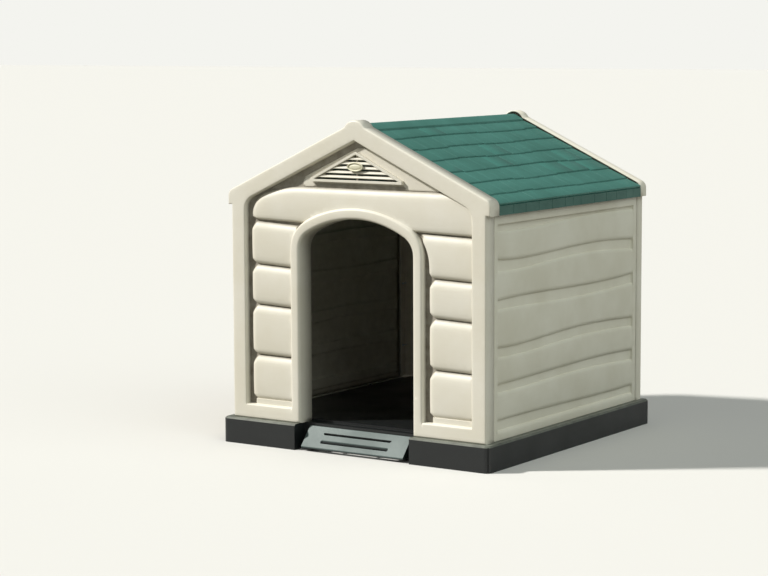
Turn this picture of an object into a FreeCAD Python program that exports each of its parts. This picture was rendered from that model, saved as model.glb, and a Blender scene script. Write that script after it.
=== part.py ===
"""Large moulded-resin dog house: plinth, four walls, two shingled roof panels, ridge cap and gable vents.

Frame: origin at the centre of the plinth's underside, +Z up, the doorway faces -Y, millimetres.
"""

import FreeCAD, Part
import os
import re

import Sketcher

Vector = FreeCAD.Vector
doc = FreeCAD.newDocument("DogHouse")

# ---------------------------------------------------------------- driving dimensions

SIZES = [
    # plinth
    ("base_width", 950, "plinth, side to side"),
    ("base_depth", 990, "plinth, front to rear"),
    ("plinth_height", 78, "ledge that the walls stand on"),
    ("front_ledge", 24, "ledge in front of the front wall"),
    ("rear_ledge", 14, "ledge behind the rear wall"),
    ("side_ledge", 24, "ledge beside the side walls"),
    ("base_corner", 16, "radius of the plinth's upright corners"),
    ("base_edge", 5, "radius of the plinth's top edge"),
    ("base_wall", 4, "skirt and deck of the plinth"),
    ("floor_rise", 6, "raised floor above the ledge"),
    ("base_rib", 2.5, "ribs under the deck"),
    ("base_cross_ribs", 9, "ribs from side to side"),
    ("base_long_ribs", 4, "ribs from front to rear"),
    # doorway notch and its step
    ("foot_screw_length", 18, "screws that hold the walls down"),
    ("notch_width", 410, "notch in the plinth at the doorway"),
    ("notch_depth", 55, "notch, from the plinth's front face"),
    ("step_width", 364, "sloping step plate"),
    ("step_foot", 15, "lower edge of the plate above the ground"),
    ("step_top", 70, "upper edge of the plate"),
    ("step_plate", 5, "thickness of the plate"),
    ("step_rib_count", 4, "gussets under the plate"),
    ("step_screw_height", 34, "step screws above the ground"),
    ("step_slot_length", 248, "grip slot in the plate"),
    ("step_slot_width", 12, "grip slot in the plate"),
    ("step_slot_pitch", 30, "between the two grip slots, along the slope"),
    # walls
    ("wall_skin", 4, "moulded wall thickness"),
    ("front_return", 45, "front wall's side return, to the seam"),
    ("rear_return", 38, "rear wall's side return, to the seam"),
    ("foot_screw_inset", 10, "foot screws of the end walls, in front of the seam"),
    ("corner_screw_length", 18, "screws that hold the wall corners"),
    ("side_thickness", 14, "side wall, outer frame to inner face"),
    ("seat_flange", 30, "inward flange at the foot and top of a side wall"),
    ("tongue_length", 20, "side wall's tongue inside the return"),
    ("fit_clearance", 0.3, "between pieces that slide together"),
    # gable rim that carries the roof ends
    ("rim_overhang", 14, "rim beyond a side wall, each side"),
    ("rim_end", 41.17, "upright end of the rim, up to where its slope would start"),
    ("rim_crown_rise", 4, "rounded hump above the point where the two slopes would meet"),
    ("rim_crown_half", 35, "half width of the hump"),
    ("roof_angle", 25, "slope of the roof, degrees"),
    ("eave_height", 728, "underside of the rim and of the eave"),
    ("front_rim_depth", 50, "rim at the front, front to rear"),
    ("rear_rim_depth", 40, "rim at the rear, front to rear"),
    ("rim_corner", 26, "rounded outer corner of the rim"),
    # border, recess and logs of the front and rear walls
    ("border_width", 48, "flat border beside the logs"),
    ("border_foot", 42, "flat border under the logs, above the ledge"),
    ("border_slope", 50, "flat border along the roof slope, square to it"),
    ("border_corner", 45, "rounded upper corner of the recess"),
    ("recess_depth", 22, "recess behind the border plane"),
    ("log_face", 6, "face of the logs behind the border plane"),
    ("log_round", 15, "rounding along the front logs"),
    ("log_bevel", 9, "bevel along the rear logs"),
    ("log_end_cut", 20, "corners cut off the free end of a log, seen from the front"),
    ("log_gap", 2, "between two logs"),
    ("gutter_width", 16, "open gutter at a log's free end"),
    ("gutter_foot", 13, "open gutter under the lowest log"),
    ("log_line_1", 272, "first line between logs"),
    ("log_line_2", 425, "second line between logs"),
    ("log_line_3", 544, "third line between logs"),
    ("log_line_4", 674, "fourth line between logs"),
    ("log_line_5", 799, "line under the gable log"),
    ("brow_fall", 42, "bevel of the brow log where it runs under the border"),
    ("brow_round", 75, "short arc of the brow log's free shoulder"),
    ("gable_log_left", 198, "free end of the gable log, left of centre"),
    ("gable_log_top", 910, "crown of the gable log"),
    ("gable_end_cut", 12, "corners cut off the free end of the gable log"),
    ("gable_log_face", 14, "face of the gable log behind the border plane"),
    # doorway
    ("door_width", 404, "doorway"),
    ("door_height", 700, "crown of the doorway above the ground"),
    ("door_spring", 601, "where the jambs end and the arch begins"),
    ("door_corner", 62, "corner arcs of the three-centred arch"),
    ("surround_width", 33, "flat band round the doorway"),
    ("reveal_depth", 63, "doorway reveal, front to rear"),
    # side wall field
    ("field_front", 64, "field, behind the front wall's face"),
    ("field_rear", 62, "field, in front of the rear wall's face"),
    ("field_foot", 106, "foot of the field"),
    ("field_top", 700, "top of the field"),
    ("board_inset", 5, "edge left solid round the hollow behind a board"),
    ("groove_depth", 9, "grooves between the boards"),
    ("groove_height", 27, "grooves between the boards"),
    ("groove_wave", 6, "rise and fall of a groove"),
    ("groove_line_1", 228, "first groove, centre"),
    ("groove_line_2", 333, "second groove, centre"),
    ("groove_line_3", 468, "third groove, centre"),
    ("groove_line_4", 583, "fourth groove, centre"),
    ("groove_foot_top", 131, "top of the lowest groove"),
    ("groove_head_foot", 683, "foot of the highest groove"),
    # roof
    ("roof_drop", 7, "mean roof surface below the rim line, upright"),
    ("roof_thickness", 7, "roof panel, upright"),
    ("course_step", 5, "step at the foot of a shingle course"),
    ("course_first", 100, "first course line, down the slope from the apex"),
    ("course_pitch", 71.8, "between course lines, down the slope"),
    ("roof_slip", 25, "plain end of a panel under the rim"),
    ("fascia_height", 27, "eave face of the roof panel"),
    ("ridge_gap", 8, "between the two roof panels"),
    ("ridge_cap_half", 38, "half width of the ridge cap"),
    ("ridge_cap_skin", 5.5, "ridge cap, upright"),
    ("ridge_web", 4, "web of the ridge cap between the panels"),
    ("ridge_barb", 14, "barb that holds the cap under the panels"),
    # gable vents
    ("vent_width", 324, "vent frame"),
    ("vent_foot", 805, "underside of the vent frame"),
    ("vent_end", 12, "upright end of the vent frame"),
    ("vent_apex", 898, "top of the vent frame"),
    ("vent_bar", 9, "foot bar of the vent frame"),
    ("vent_rail", 7, "sloping rails of the vent frame, upright"),
    ("vent_face", 8, "vent face behind the border plane"),
    ("louvre_width", 296, "louvred opening between its upright ends"),
    ("vent_collar", 16, "collar through the wall"),
    ("vent_collar_wall", 3, "collar thickness"),
    ("slat_pitch", 13.5, "louvre slats"),
    ("slat_first", 824, "lowest slat, centre above the ground"),
    ("slat_height", 11, "blade of a slat, before it is tilted"),
    ("slat_skin", 3, "slat thickness"),
    ("slat_tilt", 40, "slat tilt, degrees"),
    ("slat_count", 5, "louvre slats"),
    ("vent_rib", 3, "upright rib behind the slats"),
    ("badge_width", 56, "oval badge"),
    ("badge_height", 27, "oval badge"),
    ("badge_centre", 854, "oval badge, above the ground"),
    ("badge_rim", 3, "badge plate thickness"),
    ("badge_dome", 2, "raised field of the badge"),
    ("badge_seat", 3, "plate on the louvre behind the badge"),
    # screws
    ("screw_shank", 4, "screw shank diameter"),
    ("screw_head", 9, "screw head across its corners"),
    ("screw_head_height", 3, "screw head height"),
    ("screw_hole", 4.6, "clearance hole"),
    ("boss_width", 12, "screw boss diameter"),
    ("corner_screw_inset", 21, "corner screws, in from the wall face"),
    ("corner_screw_foot", 190, "lowest corner screw"),
    ("corner_screw_pitch", 210, "between corner screws"),
    ("base_screw_side", 330, "foot screws of the front and rear walls, from the centre"),
    ("base_screw_along", 230, "foot screws of the side walls, from the centre"),
    ("eave_screw_along", 290, "eave screws, from the centre"),
    ("step_screw_side", 120, "step screws, from the centre"),
]

sheet = doc.addObject("Spreadsheet::Sheet", "Dims")
for row, (alias, value, note) in enumerate(SIZES, start=1):
    sheet.set(f"A{row}", alias)
    sheet.set(f"B{row}", str(value))
    sheet.set(f"C{row}", note)
    sheet.setAlias(f"B{row}", alias)
doc.recompute()

ALIASES = re.compile(r"\b(" + "|".join(alias for alias, _, _ in SIZES) + r")\b")


def formula(text):
    """An expression written with plain size names, with the sheet's name put before each."""
    return ALIASES.sub(r"Dims.\1", str(text))


def value(text):
    return float(sheet.evalExpression(formula(text)))


# Places that several pieces share, as expressions of the sizes above.
FRONT_FACE = "(front_ledge - base_depth / 2)"
REAR_FACE = "(base_depth / 2 - rear_ledge)"
WALL_HALF = "(base_width / 2 - side_ledge)"
FRONT_SEAM = f"({FRONT_FACE} + front_return)"
REAR_SEAM = f"({REAR_FACE} - rear_return)"
SIDE_INNER = f"({WALL_HALF} - side_thickness)"
FLANGE_INNER = f"({SIDE_INNER} - seat_flange)"
SLOPE = "tan(roof_angle)"
RIM_HALF = f"({WALL_HALF} + rim_overhang)"
RIM_APEX = f"(eave_height + rim_end + {RIM_HALF} * {SLOPE})"
ROOF_TOP = f"({RIM_APEX} - roof_drop - course_step / 2)"
ROOF_UNDER = f"({RIM_APEX} - roof_drop - roof_thickness)"
DOOR_HALF = "(door_width / 2)"

# ---------------------------------------------------------------- drawing helpers

FRONT = FreeCAD.Rotation(Vector(1, 0, 0), 90)
SIDE = FreeCAD.Rotation(Vector(0, 1, 0), Vector(0, 0, 1), Vector(1, 0, 0), "ZXY")
PLANES = {"front": (FRONT, "y"), "side": (SIDE, "x"), "top": (FreeCAD.Rotation(), "z")}
AXES = {"x": Vector(1, 0, 0), "y": Vector(0, 1, 0), "z": Vector(0, 0, 1)}


def draw(sketch, points):
    """Adds one closed profile to a sketch, each corner tied to the sheet.

    A point is (across, up), or (across, up, radius, turn) where the stretch to the next point is an
    arc, turn being 1 for counter-clockwise and -1 for clockwise.
    """
    places = [(value(p[0]), value(p[1])) for p in points]
    first = sketch.GeometryCount
    starts = []
    for i, point in enumerate(points):
        (ax, ay), (bx, by) = places[i], places[(i + 1) % len(points)]
        start, end = Vector(ax, ay, 0), Vector(bx, by, 0)
        if len(point) == 2:
            sketch.addGeometry(Part.LineSegment(start, end))
            starts.append((1, 2))
            continue
        radius = value(point[2])
        chord = end - start
        rise = max(radius ** 2 - chord.Length ** 2 / 4, 0) ** 0.5
        left = Vector(-chord.y, chord.x, 0).normalize()
        centre = (start + end) / 2 + left * rise * point[3]
        from_point, to_point = (start, end) if point[3] > 0 else (end, start)
        circle = Part.Circle(centre, Vector(0, 0, 1), radius)
        sketch.addGeometry(Part.ArcOfCircle(circle, circle.parameter(from_point), circle.parameter(to_point)))
        starts.append((1, 2) if point[3] > 0 else (2, 1))
    for i in range(len(points)):
        after = (i + 1) % len(points)
        sketch.addConstraint(
            Sketcher.Constraint("Coincident", first + i, starts[i][1], first + after, starts[after][0]))
    for i, point in enumerate(points):
        corner = (first + i, starts[i][0])
        for kind, number, text in (("DistanceX", places[i][0], point[0]), ("DistanceY", places[i][1], point[1])):
            index = sketch.addConstraint(Sketcher.Constraint(kind, *corner, number))
            sketch.setExpression(f"Constraints[{index}]", formula(text))
        if len(point) == 4:
            index = sketch.addConstraint(Sketcher.Constraint("Radius", first + i, value(point[2])))
            sketch.setExpression(f"Constraints[{index}]", formula(point[2]))


def profile(name, plane, offset, *outlines):
    """A sketch of closed profiles on an upright or level plane."""
    rotation, axis = PLANES[plane]
    sketch = doc.addObject("Sketcher::SketchObject", name)
    sketch.Placement = FreeCAD.Placement(AXES[axis] * value(offset), rotation)
    sketch.setExpression(f"Placement.Base.{axis}", formula(offset))
    for points in outlines:
        draw(sketch, points)
    return sketch


def extrude(name, plane, start, end, *outlines):
    """Closed profiles swept from one plane to another."""
    sketch = profile(f"{name}_outline", plane, start, *outlines)
    solid = doc.addObject("Part::Extrusion", name)
    solid.Base = sketch
    solid.DirMode = "Custom"
    solid.Dir = AXES[PLANES[plane][1]]
    solid.Solid = True
    solid.setExpression("LengthFwd", formula(f"{end} - {start}"))
    return solid


def block(name, x, y, z):
    """A box between two places on each axis."""
    box = doc.addObject("Part::Box", name)
    for size, axis, (low, high) in zip(("Length", "Width", "Height"), "xyz", (x, y, z)):
        box.setExpression(size, formula(f"{high} - ({low})"))
        box.setExpression(f"Placement.Base.{axis}", formula(low))
    return box


def run_along(piece, axis, start, length):
    """Turns an upright piece along an axis and sets its start and its length."""
    turns = {"y": (Vector(1, 0, 0), -90), "z": (Vector(0, 0, 1), 0)}
    piece.setExpression("Height", formula(length))
    piece.Placement = FreeCAD.Placement(Vector(), FreeCAD.Rotation(*turns[axis]))
    for letter, place in zip("xyz", start):
        piece.setExpression(f"Placement.Base.{letter}", formula(place))
    return piece


def prism(name, axis, start, sides, across, length):
    """A prism that runs along an axis from the centre of its first face, sized across its corners."""
    shape = doc.addObject("Part::Prism", name)
    shape.Polygon = sides
    shape.setExpression("Circumradius", formula(f"({across}) / 2"))
    return run_along(shape, axis, start, length)


def cored_hole(name, axis, start, across, length):
    """An eight-sided cored hole, sized across its flats."""
    return prism(name, axis, start, 8, f"({across}) / cos(22.5)", length)


def fuse(name, *pieces):
    joined = doc.addObject("Part::MultiFuse", name)
    joined.Shapes = list(pieces)
    joined.Refine = True
    return joined


def cut(name, base, *tools):
    tool = tools[0] if len(tools) == 1 else fuse(f"{name}_tool", *tools)
    result = doc.addObject("Part::Cut", name)
    result.Base = base
    result.Tool = tool
    result.Refine = True
    return result


def common(name, first, second):
    result = doc.addObject("Part::MultiCommon", name)
    result.Shapes = [first, second]
    return result


def soften_edges(name, finish, base, size, chosen):
    """Finishes the edges of base for which chosen(edge) is true with a Fillet or a Chamfer."""
    doc.recompute()
    result = doc.addObject(f"Part::{finish}", name)
    result.Base = base
    size = value(size)
    result.Edges = [(i, size, size) for i, edge in enumerate(base.Shape.Edges, start=1) if chosen(edge)]
    return result


def mirror(name, source):
    """The same piece on the other side of the house."""
    copy = doc.addObject("Part::Mirroring", name)
    copy.Source = source
    copy.Normal = Vector(1, 0, 0)
    return copy


parts = {}


def keep(label, piece):
    piece.Label = label
    parts[label] = piece
    return piece


# ---------------------------------------------------------------- outlines


def rim_outline(inset, foot):
    """The gable rim: level foot, rounded eave corners and a rounded crown."""
    half = f"({RIM_HALF} - {inset})"
    apex = f"({RIM_APEX} - {inset} / cos(roof_angle))"
    radius = f"(rim_corner - {inset})"
    back = f"({radius} * tan(45 - roof_angle / 2))"
    corner = f"({apex} - {half} * {SLOPE})"
    crown = f"((rim_crown_half ^ 2 + (rim_crown_half * {SLOPE} + rim_crown_rise) ^ 2)"
    crown += f" / 2 / (rim_crown_half * {SLOPE} + rim_crown_rise))"
    right = [
        (half, foot),
        (half, f"{corner} - {back}", radius, 1),
        (f"{half} - {back} * cos(roof_angle)", f"{corner} + {back} * sin(roof_angle)"),
        ("rim_crown_half", f"{apex} - rim_crown_half * {SLOPE}", crown, 1),
    ]
    left = [
        ("-rim_crown_half", f"{apex} - rim_crown_half * {SLOPE}"),
        (f"-{half} + {back} * cos(roof_angle)", f"{corner} + {back} * sin(roof_angle)", radius, 1),
        (f"-{half}", f"{corner} - {back}"),
        (f"-{half}", foot),
    ]
    return right + left


def recess_outline(grow):
    """The recess inside the flat border, with rounded upper corners, grown by an even margin."""
    half = f"({WALL_HALF} - border_width + {grow})"
    apex = f"({RIM_APEX} + ({grow} - border_slope) / cos(roof_angle))"
    foot = f"(plinth_height + border_foot - {grow})"
    corner = f"({apex} - {half} * {SLOPE})"
    radius = f"(border_corner + {grow})"
    back = f"({radius} * tan(45 - roof_angle / 2))"
    return [
        (half, foot),
        (half, f"{corner} - {back}", radius, 1),
        (f"{half} - {back} * cos(roof_angle)", f"{corner} + {back} * sin(roof_angle)"),
        ("0", apex),
        (f"-{half} + {back} * cos(roof_angle)", f"{corner} + {back} * sin(roof_angle)", radius, 1),
        (f"-{half}", f"{corner} - {back}"),
        (f"-{half}", foot),
    ]


def door_outline(grow, foot):
    """The three-centred arch of the doorway, grown outwards by an even margin."""
    reach = f"({DOOR_HALF} - door_corner)"
    rise = "(door_height - door_spring)"
    crown = f"(({reach} ^ 2 + {rise} ^ 2 - door_corner ^ 2) / 2 / ({rise} - door_corner))"
    share = f"(({crown} + {grow}) / ({crown} - door_corner))"
    centre = f"(door_height - {crown})"
    join_x = f"{reach} * {share}"
    join_z = f"({centre} + (door_spring - {centre}) * {share})"
    half = f"({DOOR_HALF} + {grow})"
    small, large = f"(door_corner + {grow})", f"({crown} + {grow})"
    return [
        (half, foot),
        (half, "door_spring", small, 1),
        (join_x, join_z, large, 1),
        (f"-{join_x}", join_z, small, 1),
        (f"-{half}", "door_spring"),
        (f"-{half}", foot),
    ]


VENT_SLOPE = "((vent_apex - vent_foot - vent_end) / (vent_width / 2))"


def vent_outline():
    """The vent frame: a low gable with upright ends."""
    half = "(vent_width / 2)"
    return [(half, "vent_foot"), (half, "vent_foot + vent_end"), ("0", "vent_apex"),
            (f"-{half}", "vent_foot + vent_end"), (f"-{half}", "vent_foot")]


def vent_opening(grow):
    """The louvred opening in the vent frame, grown by an even margin."""
    half = f"(louvre_width / 2 + {grow})"
    foot = f"(vent_foot + vent_bar - {grow})"
    apex = f"(vent_apex + ({grow} - vent_rail) * sqrt(1 + {VENT_SLOPE} ^ 2))"
    end = f"({apex} - {VENT_SLOPE} * {half})"
    return [(half, foot), (half, end), ("0", apex), (f"-{half}", end), (f"-{half}", foot)]


# ---------------------------------------------------------------- base


def body_plane(body, role):
    return next(plane for plane in body.Origin.OriginFeatures if plane.Role == role)


def body_sketch(body, name, role, offset, *outlines):
    sketch = body.newObject("Sketcher::SketchObject", name)
    sketch.AttachmentSupport = [(body_plane(body, role), "")]
    sketch.MapMode = "FlatFace"
    sketch.setExpression("AttachmentOffset.Base.z", formula(offset))
    for points in outlines:
        draw(sketch, points)
    return sketch


def pad(body, name, sketch, length, reversed_=False):
    feature = body.newObject("PartDesign::Pad", name)
    feature.Profile = sketch
    feature.setExpression("Length", formula(length))
    feature.Reversed = reversed_
    return feature


def pocket(body, name, sketch, length, reversed_=False):
    feature = body.newObject("PartDesign::Pocket", name)
    feature.Profile = sketch
    feature.setExpression("Length", formula(length))
    feature.Reversed = reversed_
    return feature


def rectangle(x0, x1, y0, y1):
    return [(x0, y0), (x1, y0), (x1, y1), (x0, y1)]


def depth(face, sign, behind):
    """A place so far behind an end wall's outer face."""
    return f"({face} + {sign} * ({behind}))"


def make_base():
    """The plinth: skirt, deck with a raised floor, ribs below and the doorway notch."""
    body = doc.addObject("PartDesign::Body", "BaseBody")
    half_x, half_y = "(base_width / 2)", "(base_depth / 2)"
    plan = body_sketch(body, "base_plan", "XY_Plane", "0", rectangle(f"-{half_x}", half_x, f"-{half_y}", half_y))
    blank = pad(body, "base_blank", plan, "plinth_height")
    doc.recompute()
    upright = [f"Edge{i}" for i, edge in enumerate(blank.Shape.Edges, start=1)
               if abs(edge.tangentAt(edge.FirstParameter).z) > 0.9]
    corners = body.newObject("PartDesign::Fillet", "base_corners")
    corners.Base = (blank, upright)
    corners.setExpression("Radius", formula("base_corner"))
    doc.recompute()
    top = value("plinth_height")
    rim = [f"Edge{i}" for i, edge in enumerate(corners.Shape.Edges, start=1)
           if all(abs(vertex.Z - top) < 0.01 for vertex in edge.Vertexes)]
    top_edge = body.newObject("PartDesign::Chamfer", "base_top_edge")
    top_edge.Base = (corners, rim)
    top_edge.setExpression("Size", formula("base_edge"))

    floor = rectangle(f"-({FLANGE_INNER} - fit_clearance)", f"{FLANGE_INNER} - fit_clearance",
                      f"{FRONT_FACE} + reveal_depth + fit_clearance", f"{REAR_SEAM} - fit_clearance")
    pad(body, "raised_floor", body_sketch(body, "floor_plan", "XY_Plane", "plinth_height", floor), "floor_rise")
    inner_x, inner_y = f"({half_x} - base_wall)", f"({half_y} - base_wall)"
    hollow = rectangle(f"-{inner_x}", inner_x, f"-{inner_y}", inner_y)
    pocket(body, "underside", body_sketch(body, "underside_plan", "XY_Plane", "0", hollow),
           "plinth_height - base_wall", True)
    hollow = rectangle(f"-({FLANGE_INNER} - base_wall)", f"{FLANGE_INNER} - base_wall",
                       f"{FRONT_FACE} + reveal_depth + base_wall", f"{REAR_SEAM} - base_wall")
    pocket(body, "floor_underside", body_sketch(body, "floor_underside_plan", "XY_Plane", "0", hollow),
           "plinth_height + floor_rise - base_wall", True)

    low, high = "0", "plinth_height - base_wall / 2"
    inside = []
    for name, along, count in (("cross", inner_y, "base_cross_ribs"), ("long", inner_x, "base_long_ribs")):
        for i in range(1, round(value(count)) + 1):
            line = f"-{along} + {i} * 2 * {along} / ({count} + 1)"
            band = (f"{line} - base_rib / 2", f"{line} + base_rib / 2")
            x = (f"-{inner_x} - base_wall / 2", f"{inner_x} + base_wall / 2") if name == "cross" else band
            y = band if name == "cross" else (f"-{inner_y} - base_wall / 2", f"{inner_y} + base_wall / 2")
            inside.append(block(f"{name}_rib_{i}", x, y, (low, high)))
    notch_half = "(notch_width / 2)"
    inside.append(block("notch_walls", (f"-{notch_half} - base_wall", f"{notch_half} + base_wall"),
                        (f"-{half_y} + base_edge", f"-{half_y} + notch_depth + base_wall"), (low, high)))
    for i, (x, y) in enumerate(foot_screws()):
        inside.append(block(f"foot_boss_{i}", (f"{x} - boss_width / 2", f"{x} + boss_width / 2"),
                            (f"{y} - boss_width / 2", f"{y} + boss_width / 2"),
                            ("plinth_height - foot_screw_length - base_wall", high)))

    openings = [block("notch", (f"-{notch_half}", notch_half),
                      (f"-{half_y} - base_edge", f"-{half_y} + notch_depth"), ("-base_edge", "plinth_height + base_edge"))]
    for i, (x, y) in enumerate(foot_screws()):
        openings.append(cored_hole(f"foot_pilot_{i}", "z", (x, y, "plinth_height - foot_screw_length"),
                            "screw_shank", "foot_screw_length + base_wall"))
    for i, (x, y, z) in enumerate(step_screws()):
        openings.append(cored_hole(f"notch_pilot_{i}", "y", (x, y, z), "screw_shank", "base_wall * 3"))
    keep("base", cut("base_part", fuse("base_ribbed", body, *inside), *openings))


def end_foot_screws(face, sign, seam):
    """Where an end wall's foot is screwed down to the plinth."""
    y = depth(face, sign, f"{seam} - foot_screw_inset")
    return [(x, y) for x in ("base_screw_side", "-base_screw_side")]


def side_foot_screws():
    """Where the right wall's foot flange is screwed down to the plinth."""
    x = f"({SIDE_INNER} - seat_flange / 2)"
    return [(x, y) for y in ("base_screw_along", "-base_screw_along")]


def foot_screws():
    """Every screw that holds a wall down to the plinth."""
    return (end_foot_screws(FRONT_FACE, 1, "front_return") + end_foot_screws(REAR_FACE, -1, "rear_return")
            + side_foot_screws() + [(f"-{x}", y) for x, y in side_foot_screws()])


def step_screws():
    """Where the step is screwed to the back of the notch."""
    y = "(notch_depth - base_depth / 2)"
    return [(x, y, "step_screw_height") for x in ("step_screw_side", "-step_screw_side")]


def make_entry_step():
    """The sloping step: a plate with two grip slots, end cheeks, gussets and a rear flange."""
    back = "(notch_depth - base_depth / 2)"
    front = "(2 - base_depth / 2)"
    run = f"({back} - {front} - step_plate)"
    thick = f"(step_plate * sqrt(1 + ((step_top - step_foot) / {run}) ^ 2))"
    section = [
        (front, "step_foot - step_plate"),
        (front, "step_foot"),
        (f"{front} + {run}", "step_top"),
        (back, "step_top"),
        (back, "step_foot - step_plate"),
        (f"{back} - step_plate", "step_foot - step_plate"),
        (f"{back} - step_plate", f"step_top - {thick}"),
        (f"{front} + step_plate", f"step_foot - {thick} + step_plate"),
        (f"{front} + step_plate", "step_foot - step_plate"),
    ]
    half = "(step_width / 2)"
    plate = extrude("step_plate_shape", "side", f"-{half}", half, section)
    gusset = [
        (f"{front} + step_plate / 2", "step_foot - step_plate"),
        (f"{front} + step_plate / 2", f"step_foot - {thick} / 2"),
        (f"{back} - step_plate / 2", f"step_top - {thick} / 2"),
        (f"{back} - step_plate / 2", "step_foot - step_plate"),
    ]
    gussets = []
    for i in range(round(value("step_rib_count"))):
        left = f"(-{half} + {i} * (step_width - base_rib) / (step_rib_count - 1))"
        gussets.append(extrude(f"step_gusset_{i}", "side", left, f"({left} + base_rib)", gusset))
    body = fuse("step_body", plate, *gussets)

    slots = []
    tilt = f"atan((step_top - step_foot) / {run})"
    end = "(step_slot_length / 2 - step_slot_width / 2)"
    half_width = f"(step_slot_width / 2 * cos({tilt}))"
    for i, side in enumerate((-0.5, 0.5)):
        line = f"({front} + {run} / 2 + {side} * step_slot_pitch * cos({tilt}))"
        low, high = f"{line} - {half_width}", f"{line} + {half_width}"
        slots.append(extrude(f"step_slot_{i}", "top", "step_foot - step_plate * 2", "step_top + step_plate", [
            (f"-{end}", low), (end, low), (f"{end} + {half_width}", line), (end, high),
            (f"-{end}", high), (f"-{end} - {half_width}", line)]))
    holes = [cored_hole(f"step_hole_{i}", "y", (x, f"{y} - step_plate * 2", z), "screw_hole", "step_plate * 3")
             for i, (x, y, z) in enumerate(step_screws())]
    keep("entry_step", cut("step_part", body, *slots, *holes))


# ---------------------------------------------------------------- front and rear walls


def end_slab(name, face, sign, start, end, *outlines):
    """Profiles swept between two depths behind an end wall's face."""
    near, far = depth(face, sign, start), depth(face, sign, end)
    return extrude(name, "front", near, far, *outlines) if sign > 0 else extrude(name, "front", far, near, *outlines)


def log_outlines(with_door):
    """The moulded logs: free, rounded ends at the left, run into the border at the right."""
    left = f"(-({WALL_HALF} - border_width - gutter_width))"
    right = f"({WALL_HALF} - border_width / 2)"
    door_left = f"(-{DOOR_HALF} - surround_width / 2)"
    door_free = f"({DOOR_HALF} + surround_width + gutter_width)"
    foot = "(plinth_height + border_foot + gutter_foot)"
    levels = [foot, "log_line_1", "log_line_2", "log_line_3", "log_line_4"]
    columns = [("left", left, door_left), ("right", door_free, right)] if with_door else [("full", left, right)]
    outlines = []
    for column, x0, x1 in columns:
        for i in range(4):
            low = levels[i] if i == 0 else f"({levels[i]} + log_gap / 2)"
            high = f"({levels[i + 1]} - log_gap / 2)"
            outlines.append((f"{column}_log_{i}", [
                (f"{x0} + log_end_cut", low), (x1, low), (x1, high), (f"{x0} + log_end_cut", high),
                (x0, f"{high} - log_end_cut"), (x0, f"{low} + log_end_cut")]))
    low, high = "(log_line_4 + log_gap / 2)", "(log_line_5 - log_gap / 2)"
    reach = f"({left} + gable_log_left + brow_round)"
    fall = f"({high} - {low} - log_end_cut)"
    sweep = f"(({reach} ^ 2 + {fall} ^ 2 - brow_round ^ 2) / 2 / ({fall} - brow_round))"
    share = f"({sweep} / ({sweep} - brow_round))"
    outlines.append(("brow_log", [
        (f"{left} + log_end_cut", low), (right, low), (right, f"{high} - brow_fall"),
        (f"{right} - brow_fall * 3", high), ("-gable_log_left", high, sweep, 1),
        (f"{reach} * {share} - gable_log_left", f"{high} - {sweep} + ({sweep} - {fall}) * {share}", "brow_round", 1),
        (left, f"{low} + log_end_cut")]))
    return outlines


def gable_log_outline():
    foot = "(log_line_5 + log_gap / 2)"
    end = "(-gable_log_left)"
    apex = f"({RIM_APEX} - border_slope / cos(roof_angle))"
    return [
        (f"{end} + gable_end_cut / 2", foot), (f"({apex} - {foot}) / {SLOPE}", foot), ("0", f"({apex} + border_slope / 4)"),
        ("gable_log_left / 5", "gable_log_top + log_gap"),
        ("0", "gable_log_top - log_gap"),
        (f"{end} + gable_end_cut", f"gable_log_top - log_gap - {SLOPE} * (gable_log_left - gable_end_cut)"),
        (end, f"{foot} + gable_end_cut"),
    ]


def rounded_log(name, face, sign, front, outline, sharp):
    """One log with its face's edges rounded at the front and bevelled at the rear, sharp where it meets the border."""
    slab = end_slab(f"{name}_slab", face, sign, front, "recess_depth + wall_skin / 2", outline)
    plane = value(depth(face, sign, front))
    limit = value(sharp)

    def soft(edge):
        on_front = all(abs(vertex.Y - plane) < 0.01 for vertex in edge.Vertexes)
        return on_front and not all(vertex.X > limit - 0.01 for vertex in edge.Vertexes)

    if sign > 0:
        return soften_edges(name, "Fillet", slab, f"min(log_round; recess_depth - {front} - 1)", soft)
    return soften_edges(name, "Chamfer", slab, f"min(log_bevel; recess_depth - {front} - 1)", soft)


def log_pocket(name, face, sign, outline, left, right):
    """The hollow behind a log."""
    low, high = outline[0][1], outline[2][1]
    return end_slab(name, face, sign, "log_face + wall_skin", "recess_depth + wall_skin + 1", rectangle(
        f"{left} + log_round", f"{right} - log_round", f"{low} + log_round * 0.7", f"{high} - log_round * 0.7"))


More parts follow.
